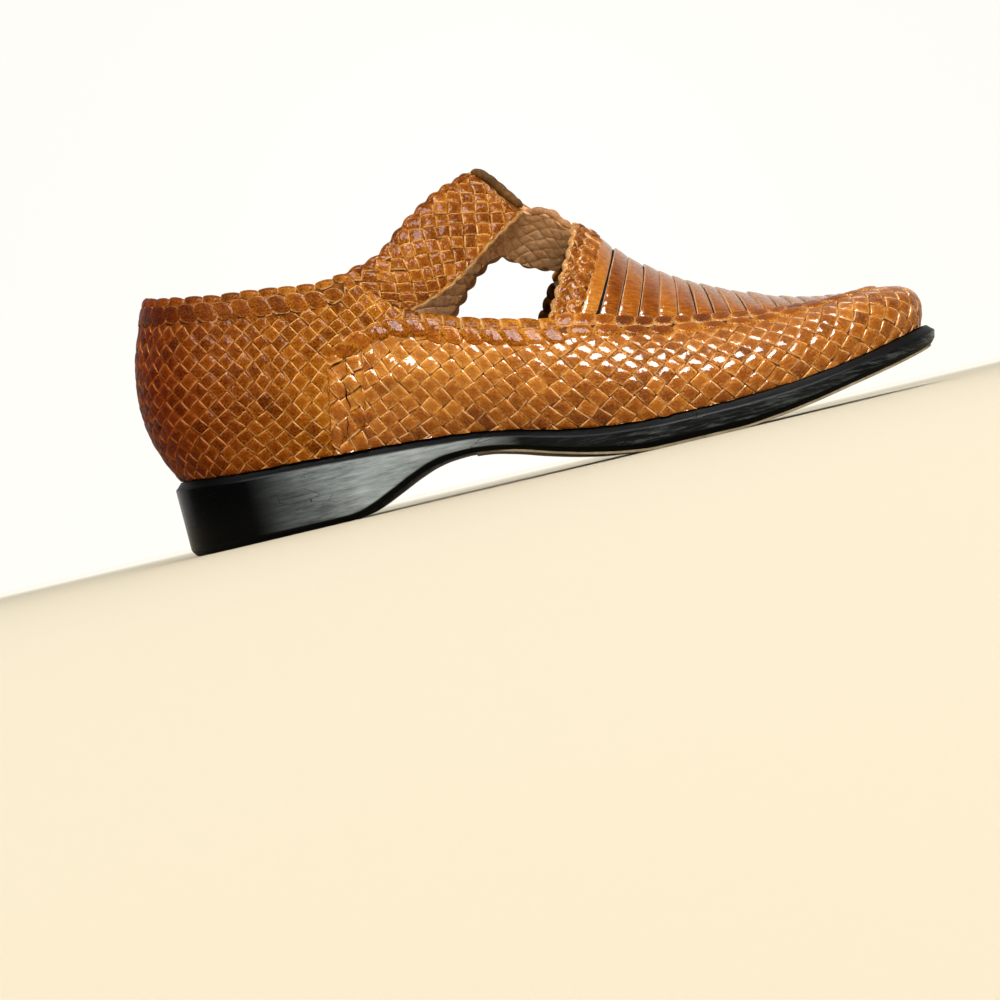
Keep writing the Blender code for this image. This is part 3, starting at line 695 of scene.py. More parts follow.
def moulded_black_sole():
    """Black polyurethane, moulded and worn: black at the heel, paled to a painted blue-grey sheen ahead of it
    and along the waist, with short scratches. Its lip and its bottom bevel get no painted sheen and stay
    black."""
    material, add, shader = new_material("moulded_black_polyurethane")
    place_on = add("TexCoord").outputs["Object"]
    kept = add("Attribute", {"attribute_name": "rim"}).outputs["Fac"]
    axes = add("SeparateXYZ", None, {"Vector": place_on}).outputs

    # Streaks that break up the painted sheen run lengthwise, 11 mm long and about 1 mm high.
    drawn = add("Mapping", {"Scale": (1.0, 1.0, 9.0), "Rotation": (0.0, 0.16, 0.0)}, {"Vector": place_on})
    streak = add("TexNoise", {"Scale": 90.0, "Detail": 9.0, "Roughness": 0.75}, {"Vector": drawn})
    patch = add("TexNoise", {"Scale": 34.0, "Detail": 3.0}, {"Vector": place_on})
    # The painted sheen lies between the heel and the ball of the foot.
    behind = add("MapRange", {**spread(-0.104, -0.064), **SOFTLY}, {"Value": axes["X"]})
    ahead = add("MapRange", spread(-0.03, -0.012, 1.0, 0.03), {"Value": axes["X"]})
    where = add("Math", TIMES, {0: behind, 1: ahead})
    worn = add("Math", {"operation": "ADD"}, {0: streak, 1: patch})
    worn = add("MapRange", spread(0.62, 1.36), {"Value": worn})
    # Thin single streaks of painted sheen carry on along the forepart.
    forepart = add("MapRange", spread(-0.01, 0.03, 0.0, 0.16), {"Value": axes["X"]})
    thin = add("Math", TIMES, {0: forepart, 1: add("MapRange", spread(0.5, 0.68), {"Value": streak})})
    open_face = add("Math", {"operation": "SUBTRACT", 0: 1.0, "use_clamp": True}, {1: kept})
    level = add("Math", TIMES_PLUS, {0: where, 1: worn, 2: thin})
    level = add("Math", TIMES, {0: level, 1: open_face})
    # Black, paled towards blue-grey by the painted sheen.
    colour = add("Mix", {**BLEND, 6: "#020303", 7: "#B4C0C4"}, {0: level})

    # A few deep short scratches and nicks, dark against the painted sheen.
    lean = add("Mapping", {"Scale": (1.0, 1.0, 5.0), "Rotation": (0.0, 0.35, 0.0)}, {"Vector": place_on})
    cracks = add("TexVoronoi", {"Scale": 75.0, "feature": "DISTANCE_TO_EDGE"}, {"Vector": lean})
    line = add("MapRange", spread(0.0, 0.02, 1.0, 0.0), {"Value": cracks})
    here = add("TexNoise", {"Scale": 55.0, "Detail": 2.0}, {"Vector": place_on})
    line = add("Math", TIMES, {0: line, 1: add("MapRange", spread(0.54, 0.64), {"Value": here})})
    colour = add("Mix", {**BLEND, 7: "#030304"}, {0: line, 6: colour})

    gloss = add("MapRange", spread(0.0, 1.0, 0.24, 0.42), {"Value": level})
    gloss = add("Math", {**TIMES_PLUS, 1: 0.22}, {0: kept, 2: gloss})
    relief = add("Math", {**TIMES_PLUS, 1: -0.8}, {0: line, 2: streak})
    bump = add("Bump", {"Strength": 0.3, "Distance": 0.0004}, {"Height": relief})
    add(shader, {"Specular IOR Level": 0.05}, {"Base Color": colour, "Roughness": gloss, "Normal": bump})
    return material


def tan_tread_leather():
    """Sole leather tread, walked on: tan, scuffed, with grey dirt ground in."""
    material, add, shader = new_material("tan_sole_leather")
    place_on = add("TexCoord").outputs["Object"]
    # Scuffs run lengthwise, 11 mm long and under 4 mm wide.
    drawn = add("Mapping", {"Scale": (1.0, 3.0, 1.0)}, {"Vector": place_on})
    scuff = add("TexNoise", {"Scale": 90.0, "Detail": 8.0, "Roughness": 0.7}, {"Vector": drawn})
    dye = ramp(add("ValToRGB", None, {"Fac": scuff}), (0.3, "#5E5442"), (0.5, "#8E8066"), (0.75, "#B4A686"))
    bump = add("Bump", {"Strength": 0.3, "Distance": 0.0005}, {"Height": scuff})
    add(shader, {"Roughness": 0.75}, {"Base Color": dye, "Normal": bump})
    return material


WOVEN = woven_strip_leather(
    "glazed_vamp_leather", ("#5E2C02", "#AA6416", "#D8963C"), "#F8CC98", 0.40, 0.36, 0.8, body=0.1,
    mottling=2.2, buckled=0.22, glazed=0.11)
QUARTER = woven_strip_leather(
    "rubbed_quarter_leather", ("#5C2C00", "#A6620A", "#D2922A"), "#FACC90", 0.42, 0.04, 0.9, 1.0)
STRAP = woven_strip_leather(
    "crumpled_strap_leather", ("#542400", "#9A560A", "#CA8A30"), "#FAD098", 0.44, 0.055, 1.0, crumple=1.1,
    buckled=0.45)
THROAT = woven_strip_leather(
    "crumpled_throat_leather", ("#562800", "#A05C10", "#CC8832"), "#F8CC90", 0.42, 0.16, 1.0, crumple=1.3)
BRAIDED = woven_strip_leather(
    "glazed_braid_leather", ("#5A2A02", "#A8620E", "#D49034"), "#FFD09A", 0.36, 0.09, 1.0, 0.6, crumple=1.3,
    buckled=0.3, glazed=0.09)
BANDED = woven_strip_leather(
    "glazed_band_leather", ("#5C2804", "#9C540E", "#C88634"), "#F8D0A0", 0.26, 0.34, 0.3, drawn=(0.25, 1.3),
    crumple=0.35, grazing_sheen=0.95, mottling=1.8)
# The flesh side's colours are raised to make up for the shade on the strap's inner side: painted light.
FLESH = flesh_side_leather("flesh_side_leather", "#B88252", "#F0B884", "#FCDAB0")
# The same leather made darker for folds that the overhead light reaches: painted shade.
SHADED_FOLD = flesh_side_leather("shaded_fold_leather", "#7A5232", "#A87850", "#C8966A")
LIP = flesh_side_leather("burnished_fold_leather", "#2E1A06", "#553610", "#7E5622", 0.85)
BASE = under_leather("brown_base_leather", "#4A2408", "#8A5220")
# Near-black finishes that stand for shade: SHADE in the slits and joins, DEEP in creases and the far throat
# lobes.
SHADE = under_leather("black_slit_shade", "#0A0604", "#160C06")
DEEP = under_leather("shaded_edge_leather", "#1E0E04", "#4A280E")
LINING = lining_leather()
BLACK = moulded_black_sole()
TREAD = tan_tread_leather()

# ---------------------------------------------------------------------------------------------------------
# The weave
# ---------------------------------------------------------------------------------------------------------

LATTICE_STEP = 0.5


class Lattice:
    """Two families of strips on a sheet. One climbs as it runs along, the other falls; p and q count strips.
    A row gives how far along it holds, the climb and the fall in degrees, and the pitch."""

    def __init__(self, *rows):
        where, climb, fall, pitch = np.array(rows, float).T
        self.at = np.arange(where[0], where[-1] + LATTICE_STEP / 2, LATTICE_STEP)
        pitch = np.interp(self.at, where, pitch)
        climb = np.radians(np.interp(self.at, where, climb))
        fall = np.radians(np.interp(self.at, where, fall))
        self.climb_rise = np.cos(climb) / pitch
        self.fall_rise = np.cos(fall) / pitch
        self.climb_run = np.cumsum(np.sin(climb) / pitch) * LATTICE_STEP
        self.fall_run = np.cumsum(np.sin(fall) / pitch) * LATTICE_STEP

    def there(self, a):
        """Rise of the climbing and of the falling strips at a, then the run of each."""
        return [np.interp(a, self.at, values)
                for values in (self.climb_rise, self.fall_rise, self.climb_run, self.fall_run)]

    def count(self, a, b):
        """Strips counted from the start to the point a, b."""
        climb_rise, fall_rise, climb_run, fall_run = self.there(a)
        return b * climb_rise - climb_run, b * fall_rise + fall_run

    def point(self, p, q, halvings=24):
        """Where on the sheet the strips' count is p, q: found by halving the stretch that holds it."""
        low = np.full(p.shape, self.at[0])
        high = np.full(p.shape, self.at[-1])
        for _ in range(halvings):
            middle = (low + high) / 2
            climb_rise, fall_rise, climb_run, fall_run = self.there(middle)
            past = (p + climb_run) * fall_rise > (q - fall_run) * climb_rise
            high = np.where(past, middle, high)
            low = np.where(past, low, middle)
        return middle, (p + climb_run) / climb_rise


CELL_RUN = np.array([-1, -0.74, -0.38, 0, 0.38, 0.74, 1])       # along the strip that lies on top
CELL_SIDE = np.array([-1, -0.82, -0.42, 0, 0.42, 0.82, 1])      # across it, from cut edge to cut edge
ROWS = len(CELL_RUN)
FACE = ROWS * ROWS      # points of a cell's face, before its two skirts
CELL = FACE + 2 * ROWS
CENTRE = FACE // 2
STRIP_WIDTH = 4.6


def cell_faces():
    """Quads of one cell: its face, then the skirts down its two cut edges."""
    quads = grid_faces(ROWS, ROWS)
    quads += [(FACE + r, FACE + r + 1, ROWS * (r + 1), ROWS * r) for r in range(ROWS - 1)]
    last = ROWS - 1
    quads += [(ROWS * r + last, ROWS * (r + 1) + last, FACE + ROWS + r + 1, FACE + ROWS + r)
              for r in range(ROWS - 1)]
    return np.array(quads)


def weave(name, sheet, lattice, fit, seed, material, high=0.46, low=-0.24, loose=1.0, half=0.492, reach=0.55):
    """Plain weave on a sheet. At each crossing one strip lies on top: it arches along its length, dives under
    its neighbours at both ends and shows its cut edges at both sides. fit keeps points in the piece."""
    chance = np.random.default_rng(seed)
    p, q = lattice.count(*np.meshgrid(np.linspace(lattice.at[0], lattice.at[-1], 60), np.linspace(0, 75, 30)))
    i, j = (n.ravel() for n in np.meshgrid(np.arange(math.floor(p.min()), math.ceil(p.max())),
                                           np.arange(math.floor(q.min()), math.ceil(q.max())), indexing="ij"))
    a, b = lattice.point(i + 0.5, j + 0.5)
    inside = (a > lattice.at[0] + 1) & (a < lattice.at[-1] - 1) & (b > -4) & (b < 80)
    i, j, a, b = i[inside], j[inside], a[inside], b[inside]
    fa, fb = fit(a, b)
    pitch = 1 / np.hypot(np.interp(a, lattice.at, lattice.climb_rise), np.gradient(lattice.climb_run)[0] * 2)
    kept = np.hypot(fa - a, fb - b) < 0.50 * pitch
    i, j = i[kept], j[kept]
    count = len(i)

    run, side = np.meshgrid(CELL_RUN, CELL_SIDE, indexing="ij")
    skirt = np.ones(ROWS)
    run = np.concatenate([run.ravel(), CELL_RUN, CELL_RUN])
    side = np.concatenate([side.ravel(), -skirt, skirt])
    hem = np.concatenate([np.zeros(FACE), skirt, skirt])

    climbing = ((i + j) % 2 == 0)[:, None]
    halves = half * (1 + chance.uniform(-0.05, 0.03, (count, 1)) * loose)
    slip = chance.normal(0, 0.018 * loose, (2, count, 1))
    twist = chance.normal(0, 0.03 * loose, (count, 1))
    along = run * reach + slip[0] + twist * side
    beside = side * halves * (1 - 0.05 * np.abs(run) ** 3) + slip[1] - twist * run
    p = i[:, None] + 0.5 + np.where(climbing, beside, along)
    q = j[:, None] + 0.5 + np.where(climbing, along, beside)
    # Strips wander by up to a tenth of a pitch.
    p = p + 0.10 * loose * np.sin(0.55 * q + 0.35 * p + seed)
    q = q + 0.10 * loose * np.sin(0.45 * p - 0.40 * q + 2 * seed)
    a, b = fit(*lattice.point(p.ravel(), q.ravel()))

    arch = 1 - np.abs(run) ** 3.2
    top = high * (1 + chance.uniform(-0.22, 0.22, (count, 1)) * loose)
    lean = chance.normal(0, 0.07 * loose, (2, count, 1))
    height = low + (top - low) * arch + lean[0] * run * 0.6 + lean[1] * side - 0.16 * np.abs(side) ** 6
    height = height - hem * 0.55
    points = sheet.at(a, b, height.ravel())

    # A cell that faces inwards is turned over.
    cells = points.reshape(count, CELL, 3)
    across = cells[:, CENTRE + 1] - cells[:, CENTRE - 1]
    ahead = cells[:, CENTRE + ROWS] - cells[:, CENTRE - ROWS]
    out = sheet.normal(a.reshape(count, CELL)[:, CENTRE], b.reshape(count, CELL)[:, CENTRE])
    turned = np.einsum("ij,ij->i", np.cross(ahead, across), out) < 0
    faces = cell_faces()[None, :, :] + (np.arange(count) * CELL)[:, None, None]
    faces[turned] = faces[turned][:, :, ::-1]

    tone = chance.uniform(0, 1, 400)
    strip_tone = np.where(climbing[:, 0], tone[i % 199], tone[200 + j % 199])
    tint = 0.35 * strip_tone + 0.65 * chance.beta(2.2, 2.2, count)
    rim = np.where(hem > 0, 1.0, np.abs(side) ** 3)
    size = STRIP_WIDTH * MM
    uv = np.stack([run * reach * size + chance.uniform(0, 1, (count, 1)),
                   side * half * size + chance.uniform(0, 1, (count, 1))], axis=-1)
    # sink rises towards the cell's diving ends; the material darkens it there as painted shade.
    sink = np.abs(run) ** 3
    marks = {"tint": np.repeat(tint, CELL), "rim": np.tile(rim, count), "sink": np.tile(sink, count)}
    finish_piece(make_mesh(name, points, faces.reshape(-1, 4), marks, uv.reshape(-1, 2)), material)


SEAM_FOOT = 62.5       # x of the side seam at the feather line
SEAM_TOP = 70.0        # and at the strap's root
SEAM_BRAID = 5.4       # the seam is laced over: the plain weave stops this far to each side of it
RIDGES = {
    OUTER_SIDE: table("at height", [(62, 53.5), (67, 54.2), (76, 57.2), (84, 58.4), (92, 56.8), (100, 53.0)]),
    INNER_SIDE: table("at height", [(62, 53.5), (67, 54.2), (78, 57.4), (88, 58.6), (99, 55.4), (106, 52.0)]),
}


def past_seam(points):
    """How far forward of the side seam points lie."""
    return points[..., 0] - (SEAM_FOOT + (SEAM_TOP - SEAM_FOOT) * np.clip((points[..., 2] - 21) / 40, 0, 1.3))


def ridge_height(x, side):
    """Height of the vamp's upper braid where it runs back under the strap to the top of the side seam."""
    return smooth(RIDGES[side], "height", x)


def round_from_heel(side, start, stop, steps):
    """Places along the wall between two distances from the back of the heel, on one side."""
    around = np.linspace(start, stop, steps)
    return around if side < 0 else WALL.length - around


def seam_path(side, shift, first=1.5):
    """Path up the wall along a side seam, that many millimetres forward of it, to the vamp's upper braid."""
    path = []
    around = round_from_heel(side, 30, 112, 165)
    for b in np.arange(first, 75.0, 0.5):
        past = past_seam(WALL.at(around, np.full(around.shape, b))) - shift
        order = np.argsort(past)
        a = float(np.interp(0, past[order], around[order]))
        here = WALL.at(a, b)
        if here[2] > ridge_height(here[0], side) - 1.0:
            break
        path.append((a, b))
    return path


def ridge_path(side, stop, start=63.0):
    """Path along the same braid between two x positions, as (a, b) points on the wall."""
    path = []
    around = round_from_heel(side, 40, 135, 191)
    for x in np.arange(start, stop, 1.5):
        best = None
        for b in np.arange(20.0, 62.0, 1.0):
            spot = WALL.at(around, np.full(around.shape, b))
            k = int(np.argmin(np.abs(spot[:, 0] - x)))
            miss = abs(spot[k, 2] - ridge_height(x, side))
            if b < WALL.width(around[k]) and (best is None or miss < best[0]):
                best = (miss, around[k], b)
        path.append(best[1:])
    return path


def fit_wall(quarter, top_inset):
    """Keeps a point of the wall on its own side of the side seams, and below the braid at the top."""
    def fit(a, b):
        b = np.clip(b, 0.15, WALL.width(a) - top_inset(a))
        spot = WALL.at(a, b)
        past = past_seam(spot)
        outer = spot[..., 1] < 0
        if quarter:
            height = np.where(outer, *(ridge_height(spot[..., 0], side) for side in (OUTER_SIDE, INNER_SIDE)))
            shift = np.where((past > -SEAM_BRAID) & (spot[..., 2] < height - 3.4), past + SEAM_BRAID, 0)
        else:
            shift = np.where(past < SEAM_BRAID, past - SEAM_BRAID, 0)
        return a - np.where(outer, shift, -shift), b
    return fit


OUTER_ROOT_AT = (wall_at(OUTER_STRAP[0], OUTER_SIDE), wall_at(OUTER_STRAP[1], OUTER_SIDE))
INNER_ROOT_AT = (wall_at(INNER_STRAP[1], INNER_SIDE), wall_at(INNER_STRAP[0], INNER_SIDE))
PLUG_ROWS_AT = (wall_at(137.5, OUTER_SIDE), wall_at(134.5, INNER_SIDE))
OUTER_RIDGE = ridge_path(OUTER_SIDE, OUTER_STRAP[1] + 9.0)
INNER_RIDGE = ridge_path(INNER_SIDE, INNER_STRAP[1] + 7.0)


def between(a, ends):
    return (a > ends[0]) & (a < ends[1])


def quarter_inset(a):
    """How far below the wall's top the quarter's weave stops: under the collar braid, or at the strap."""
    a = np.mod(a, WALL.length)
    return np.where(between(a, OUTER_ROOT_AT) | between(a, INNER_ROOT_AT), 0.3, 7.6)


def vamp_inset(a):
    """The same for the vamp: under its own upper braid, which dips behind the strap's root."""
    a = np.mod(a, WALL.length)
    inset = np.where(between(a, PLUG_ROWS_AT), 6.4, 8.4)
    for ridge in (OUTER_RIDGE, INNER_RIDGE[::-1]):
        along, across = np.array(ridge).T
        inset = np.where(between(a, along[[0, -1]]), WALL.width(a) - np.interp(a, along, across), inset)
    return inset


def make_wall_weave():
    quarters = Lattice((-128, 34, 56, 4.4), (128, 34, 56, 4.4))
    weave("quarter_weave", WALL, quarters, fit_wall(True, quarter_inset), 3, QUARTER, loose=1.25)
    slants = [(50, 20, 66, 4.7), (95, 22, 64, 4.8), (150, 30, 54, 5.0), (190, 36, 50, 5.1),
              (240, 40, 45, 5.0)]
    back = [(2 * TOE_AT - at, fall, climb, pitch) for at, climb, fall, pitch in slants[::-1]]
    vamp = Lattice(*slants, (TOE_AT, 42, 42, 4.9), *back)
    weave("vamp_weave", WALL, vamp, fit_wall(False, vamp_inset), 5, WOVEN, high=0.36, low=-0.2, loose=1.25)


# The crease of the strap: its woven face stops short of the fold, further at the front than at the rear.
FOLD_REAR = 1.2
FOLD_FRONT = 4.6


def fold_inset(b):
    return FOLD_REAR + (FOLD_FRONT - FOLD_REAR) * np.clip(b / 21.5, 0, 1)


def make_strap_weave():
    def fit_outer(a, b):
        b = np.clip(b, 0.5, OUTER.width(a) - 0.25)
        return np.clip(a, 0.0, OUTER.length - fold_inset(b)), b

    def fit_inner(sheet):
        def fit(a, b):
            return np.clip(a, 0.0, sheet.length - 0.3), np.clip(b, 0.2, sheet.width(a) - 0.25)
        return fit

    near = Lattice((-12, 39, 51, 4.6), (75, 39, 51, 4.6))
    weave("outer_strap_weave", OUTER, near, fit_outer, 11, STRAP, high=0.5, loose=1.9)
    far = Lattice((-12, 45, 45, 4.5), (INNER.length + 12, 45, 45, 4.5))
    weave("inner_strap_weave", INNER, far, fit_inner(INNER), 13, STRAP, high=0.5)
    weave("strap_flesh_weave", INNER_FLESH, far, fit_inner(INNER_FLESH), 17, FLESH, high=0.30, low=-0.25,
          half=0.495)


# ---------------------------------------------------------------------------------------------------------
# Shells under the weave
# ---------------------------------------------------------------------------------------------------------

UNDER_WEAVE = 0.15     # the weave's mean surface lies this far above the shell


def add_shell(name, sheets, thickness, *materials):
    """Leather of even thickness under the weave, with its own finish for outside, inside and cut edge."""
    points, faces = [], []
    for sheet in sheets:
        grid = sheet.points - sheet.normals * UNDER_WEAVE
        block = grid_faces(*grid.shape[:2], len(points))
        points.extend(grid.reshape(-1, 3))
        turned = np.dot(np.cross(grid[1, 0] - grid[0, 0], grid[0, 1] - grid[0, 0]), sheet.normals[0, 0]) < 0
        faces += [face[::-1] for face in block] if turned else block
    piece = make_mesh(name, points, faces)
    for material in materials:
        piece.data.materials.append(material)
    piece.modifiers.new("merge", "WELD").merge_threshold = 0.00002
    wall = piece.modifiers.new("thickness", "SOLIDIFY")
    wall.thickness = thickness * MM
    wall.offset = -1
    wall.material_offset = 1
    wall.material_offset_rim = 2
    make_plain(piece)
    return piece


def make_shells():
    shell = add_shell("upper_shell", (WALL, PLUG), UPPER_WALL - UNDER_WEAVE, BASE, LINING, BASE)
    finish_piece(shell, None, stands_for=("upper",))
    strap = add_shell("strap_core", (OUTER, INNER), UPPER_WALL - 2 * UNDER_WEAVE, BASE, FLESH, FLESH)
    finish_piece(strap, None)


# ---------------------------------------------------------------------------------------------------------
# Links: the short folded strip ends that braid every edge, repeated along paths
# ---------------------------------------------------------------------------------------------------------

LINK_INPUTS = {"Geometry": "Geometry", "Link": "Object", "Finish": "Material", "Turn": "Float",
               "Uneven": "Float", "Seed": "Int"}


def link_tree():
    """Geometry nodes that put one link on every point, turned by the point's facing and sized by its size."""
    tree = bpy.data.node_groups.new("links_on_points", "GeometryNodeTree")
    tree.is_modifier = True
    for name, kind in LINK_INPUTS.items():
        tree.interface.new_socket(name=name, in_out="INPUT", socket_type="NodeSocket" + kind)
    tree.interface.new_socket(name="Geometry", in_out="OUTPUT", socket_type="NodeSocketGeometry")
    add = partial(add_node, tree)
    entry = add("NodeGroupInput").outputs
    facing, size = (add("GeometryNodeInputNamedAttribute", {"data_type": "FLOAT_VECTOR", "Name": name})
                    for name in ("facing", "size"))
    link = add("GeometryNodeObjectInfo", None, {"Object": entry["Link"]}).outputs["Geometry"]
    least = add("Math", {**TIMES, 1: -1.0}, {0: entry["Turn"]})
    random = {"data_type": "FLOAT"}
    roll = add("FunctionNodeRandomValue", random, {2: least, 3: entry["Turn"], "Seed": entry["Seed"]})
    turn = add("CombineXYZ", None, {"Z": roll})
    spun = add("FunctionNodeRotateRotation", {"rotation_space": "LOCAL"}, {0: facing, 1: turn})
    small = add("Math", {"operation": "SUBTRACT", 0: 1.0}, {1: entry["Uneven"]})
    large = add("Math", {"operation": "ADD", 0: 1.0}, {1: entry["Uneven"]})
    growth = add("FunctionNodeRandomValue", random, {2: small, 3: large, "Seed": entry["Seed"]})
    scale = add("VectorMath", {"operation": "SCALE"}, {0: size, "Scale": growth})
    copies = add("GeometryNodeInstanceOnPoints", None,
                 {"Points": entry["Geometry"], "Instance": link, "Rotation": spun, "Scale": scale})
    real = add("GeometryNodeRealizeInstances", None, {"Geometry": copies})
    coated = add("GeometryNodeSetMaterial", None, {"Geometry": real, "Material": entry["Finish"]})
    add("NodeGroupOutput", None, {"Geometry": coated})
    return tree


LINKS = link_tree()


def lay_links(name, spots, link, material, turn=0.0, uneven=0.0, seed=1):
    """Copies of link at spots, each (point, along, up, out, size, tint), as one plain mesh."""
    data = bpy.data.meshes.new(name)
    data.from_pydata(place([spot[0] for spot in spots]).tolist(), [], [])
    turns = [Matrix(spot[1:4]).transposed().to_euler() for spot in spots]
    add_mark(data, "facing", turns, "FLOAT_VECTOR", "vector")
    add_mark(data, "size", [spot[4] for spot in spots], "FLOAT_VECTOR", "vector")
    add_mark(data, "tint", [spot[5] for spot in spots])
    piece = add_object(name, data)
    modifier = piece.modifiers.new("links", "NODES")
    modifier.node_group = LINKS
    sockets = {item.name: item.identifier for item in LINKS.interface.items_tree if item.in_out == "INPUT"}
    values = {"Link": link, "Finish": material, "Turn": turn, "Uneven": uneven, "Seed": seed}
    for label, value in values.items():
        modifier[sockets[label]] = value
    shape = make_plain(piece)
    for label in ("facing", "size"):
        if label in shape.attributes:
            shape.attributes.remove(shape.attributes[label])
    shape.shade_smooth()
    finish_piece(piece, material)


def link_mesh(name, grid, rim, sink):
    """A link from a grid of points in millimetres: x along the edge, y up out of the sheet, z outwards."""
    rows, columns = grid.shape[:2]
    flat = grid.reshape(-1, 3)
    marks = {"rim": rim, "sink": sink}
    return make_mesh(name, flat + ORIGIN, grid_faces(rows, columns), marks, flat[:, :2] * MM)


def wrap_link(name, width, slant, drop, proud=0.85, mirrored=False, hem=0.0, taper=0.25, pucker=0.0,
              pale=4.0):
    """Strip end folded over an edge of the leather: up the inside, over the rim and down the outside. pucker
    pulls a small pit into the foot of its outer face and darkens it with painted shade, and a lower pale
    makes its bare edges wider."""
    path = np.array([
        (-3.6, -2.35), (-1.8, -2.65), (-0.1, -2.55), (0.6, -2.0), (0.8, -1.0), (0.55, 0.05),
        (-0.1, proud - 0.2), (-drop * 0.35, proud), (-drop * 0.7, proud * 0.88), (-drop * 0.92, 0.42),
        (-drop, -0.1),
    ])
    section = ((-1, -0.55), (-0.86, 0.0), (-0.45, 0.28), (0, 0.34), (0.45, 0.22), (0.86, -0.12), (1, -0.6))
    ahead = unit(np.gradient(path, axis=0))
    lengths = running_length(path)
    share = lengths / lengths[-1]
    values = []
    for k, (y, z) in enumerate(path):
        narrow = 1.0 - taper * max(0.0, share[k] - 0.75) / 0.25
        for side, rise in section:
            x = side * width / 2 * narrow + slant * (share[k] - 0.5)
            pit = pucker * math.exp(-(side / 0.45) ** 2 - ((share[k] - 0.82) / 0.11) ** 2)
            rise = rise - 0.14 * side - 0.6 * pit
            rim = max(abs(side) ** pale * 0.95, hem * (share[k] - 0.8) / 0.2)
            # sink darkens the foot of the outer face, where it tucks under, and the pit: painted shade.
            sink = max(0.0, share[k] - 0.6) * 1.6 + pit
            values.append((-x if mirrored else x, y + ahead[k, 1] * rise, z - ahead[k, 0] * rise, rim, sink))
    values = np.array(values).reshape(len(path), len(section), -1)
    if mirrored:
        values = values[:, ::-1]
    values = values.transpose(1, 0, 2)
    return link_mesh(name, values[..., :3], values[..., 3].ravel(), values[..., 4].ravel())


def pillow_link(name, length, width, height, power=3.0, lean=0.0, top_highlight=0.0, outline=0.25, dive=1.0,
                segments=16):
    """Rounded cell of a braid: a flat oval or a soft square, crowned, with its edge turned down. Its cut edge
    shows paler all round; crest moves that paleness mostly onto the top edge as a painted highlight. A higher
    outline makes the pale edge wider, and dive darkens the two ends with painted shade."""
    rings = ((0.5, 0.97, 0.0), (0.78, 0.84, outline), (0.93, 0.5, 0.78), (1.0, -0.25, 1.0))
    points, rim, sink = [(0.0, 0.0, height)], [0.0], [0.0]
    for reach, level, pale in rings:
        for k in range(segments):
            angle = 2 * math.pi * k / segments
            c, s = math.cos(angle), math.sin(angle)
            radius = (abs(c) ** power + abs(s) ** power) ** (-1 / power)
            x, y = c * radius * length / 2 * reach, s * radius * width / 2 * reach
            points.append((x + lean * y, y, height * level - 0.12 * x / length * 2 * height))
            # Painted highlight along the top edge, as strong as crest asks.
            rim.append(pale * (1 - top_highlight * (0.5 - 0.5 * s)))
            # Painted shade on the two ends, where the cell dives under its neighbours.
            sink.append(abs(c) ** 4 * reach * dive)
    following = [(k + 1) % segments for k in range(segments)]
    faces = [(0, 1 + k, 1 + following[k]) for k in range(segments)]
    for start in range(1, 1 + segments * (len(rings) - 1), segments):
        faces += [(start + k, start + segments + k, start + segments + following[k], start + following[k])
                  for k in range(segments)]
    points = np.array(points)
    return make_mesh(name, points + ORIGIN, faces, {"rim": rim, "sink": sink}, points[:, :2] * MM)


def crease_link(name, length, width, flip=1, steps=13):
    """Thin dark strip of painted shade that hugs the lower rear side of a cell, where it folds under the next
    one.
    """
    angles = np.radians(np.linspace(172, 312, steps))
    share = np.sin(np.linspace(0, math.pi, steps))
    grid = []
    for step, rise in ((-1, -0.1), (0, 0.16), (1, -0.1)):
        reach = 1 + step * (0.02 + 0.055 * share)
        grid.append(np.stack([np.cos(angles) * length / 2 * reach * flip, np.sin(angles) * width / 2 * reach,
                              np.full(steps, rise)], -1))
    return link_mesh(name, np.array(grid)[::flip], np.zeros(3 * steps), np.zeros(3 * steps))


def drop_links(*links):
    for link in links:
        bpy.data.objects.remove(link)


def frames(sheet, path, pitch, offset=0.5):
    """Even stops along a path of (a, b) points: a, b, the stop, and the directions along, up and out."""
    path = np.array(path, float)
    lengths = running_length(sheet.at(path[:, 0], path[:, 1]))
    count = max(2, int(round(lengths[-1] / pitch)))
    stops = (np.arange(count) + offset) * lengths[-1] / count
    stops = stops[stops <= lengths[-1]]

    def on_path(at):
        return np.interp(at, lengths, path[:, 0]), np.interp(at, lengths, path[:, 1])

    a, b = on_path(stops)
    ahead = sheet.at(*on_path(stops + 0.5)) - sheet.at(*on_path(stops - 0.5))
    out = sheet.normal(a, b)
    along = unit(ahead - out * np.sum(ahead * out, axis=1, keepdims=True))
    return a, b, stops, along, np.cross(out, along), out


def spots_on(sheet, path, pitch, lift=0.0, seed=1, offset=0.5, size=(1, 1, 1), dark=0.0):
    """Spots for links at even spacing along a path."""
    chance = np.random.default_rng(seed)
    a, b, _, along, up, out = frames(sheet, path, pitch, offset)
    points = sheet.at(a, b, lift)
    spots = []
    for k in range(len(a)):
        swing = chance.normal(0, 0.05)
        first = along[k] * math.cos(swing) + up[k] * math.sin(swing)
        scale = Vector(size) * (1 + chance.uniform(-0.07, 0.07))
        tone = chance.uniform(0.2, 0.8) - dark
        spots.append((points[k], first, np.cross(out[k], first), out[k], scale, tone))
    return spots


def tilt_out(spots, sheet, path, pitch, offset, depth, amount):
    """The same spots leaned outwards, by the way the leather faces that many millimetres lower down."""
    a, b = frames(sheet, path, pitch, offset)[:2]
    face = sheet.normal(a, b - depth)
    leaned = []
    for k, (point, along, _, out, size, tone) in enumerate(spots):
        facing = unit(out + face[k] * amount)
        along = unit(along - facing * np.dot(along, facing))
        leaned.append((point, along, np.cross(facing, along), facing, size, tone))
    return leaned


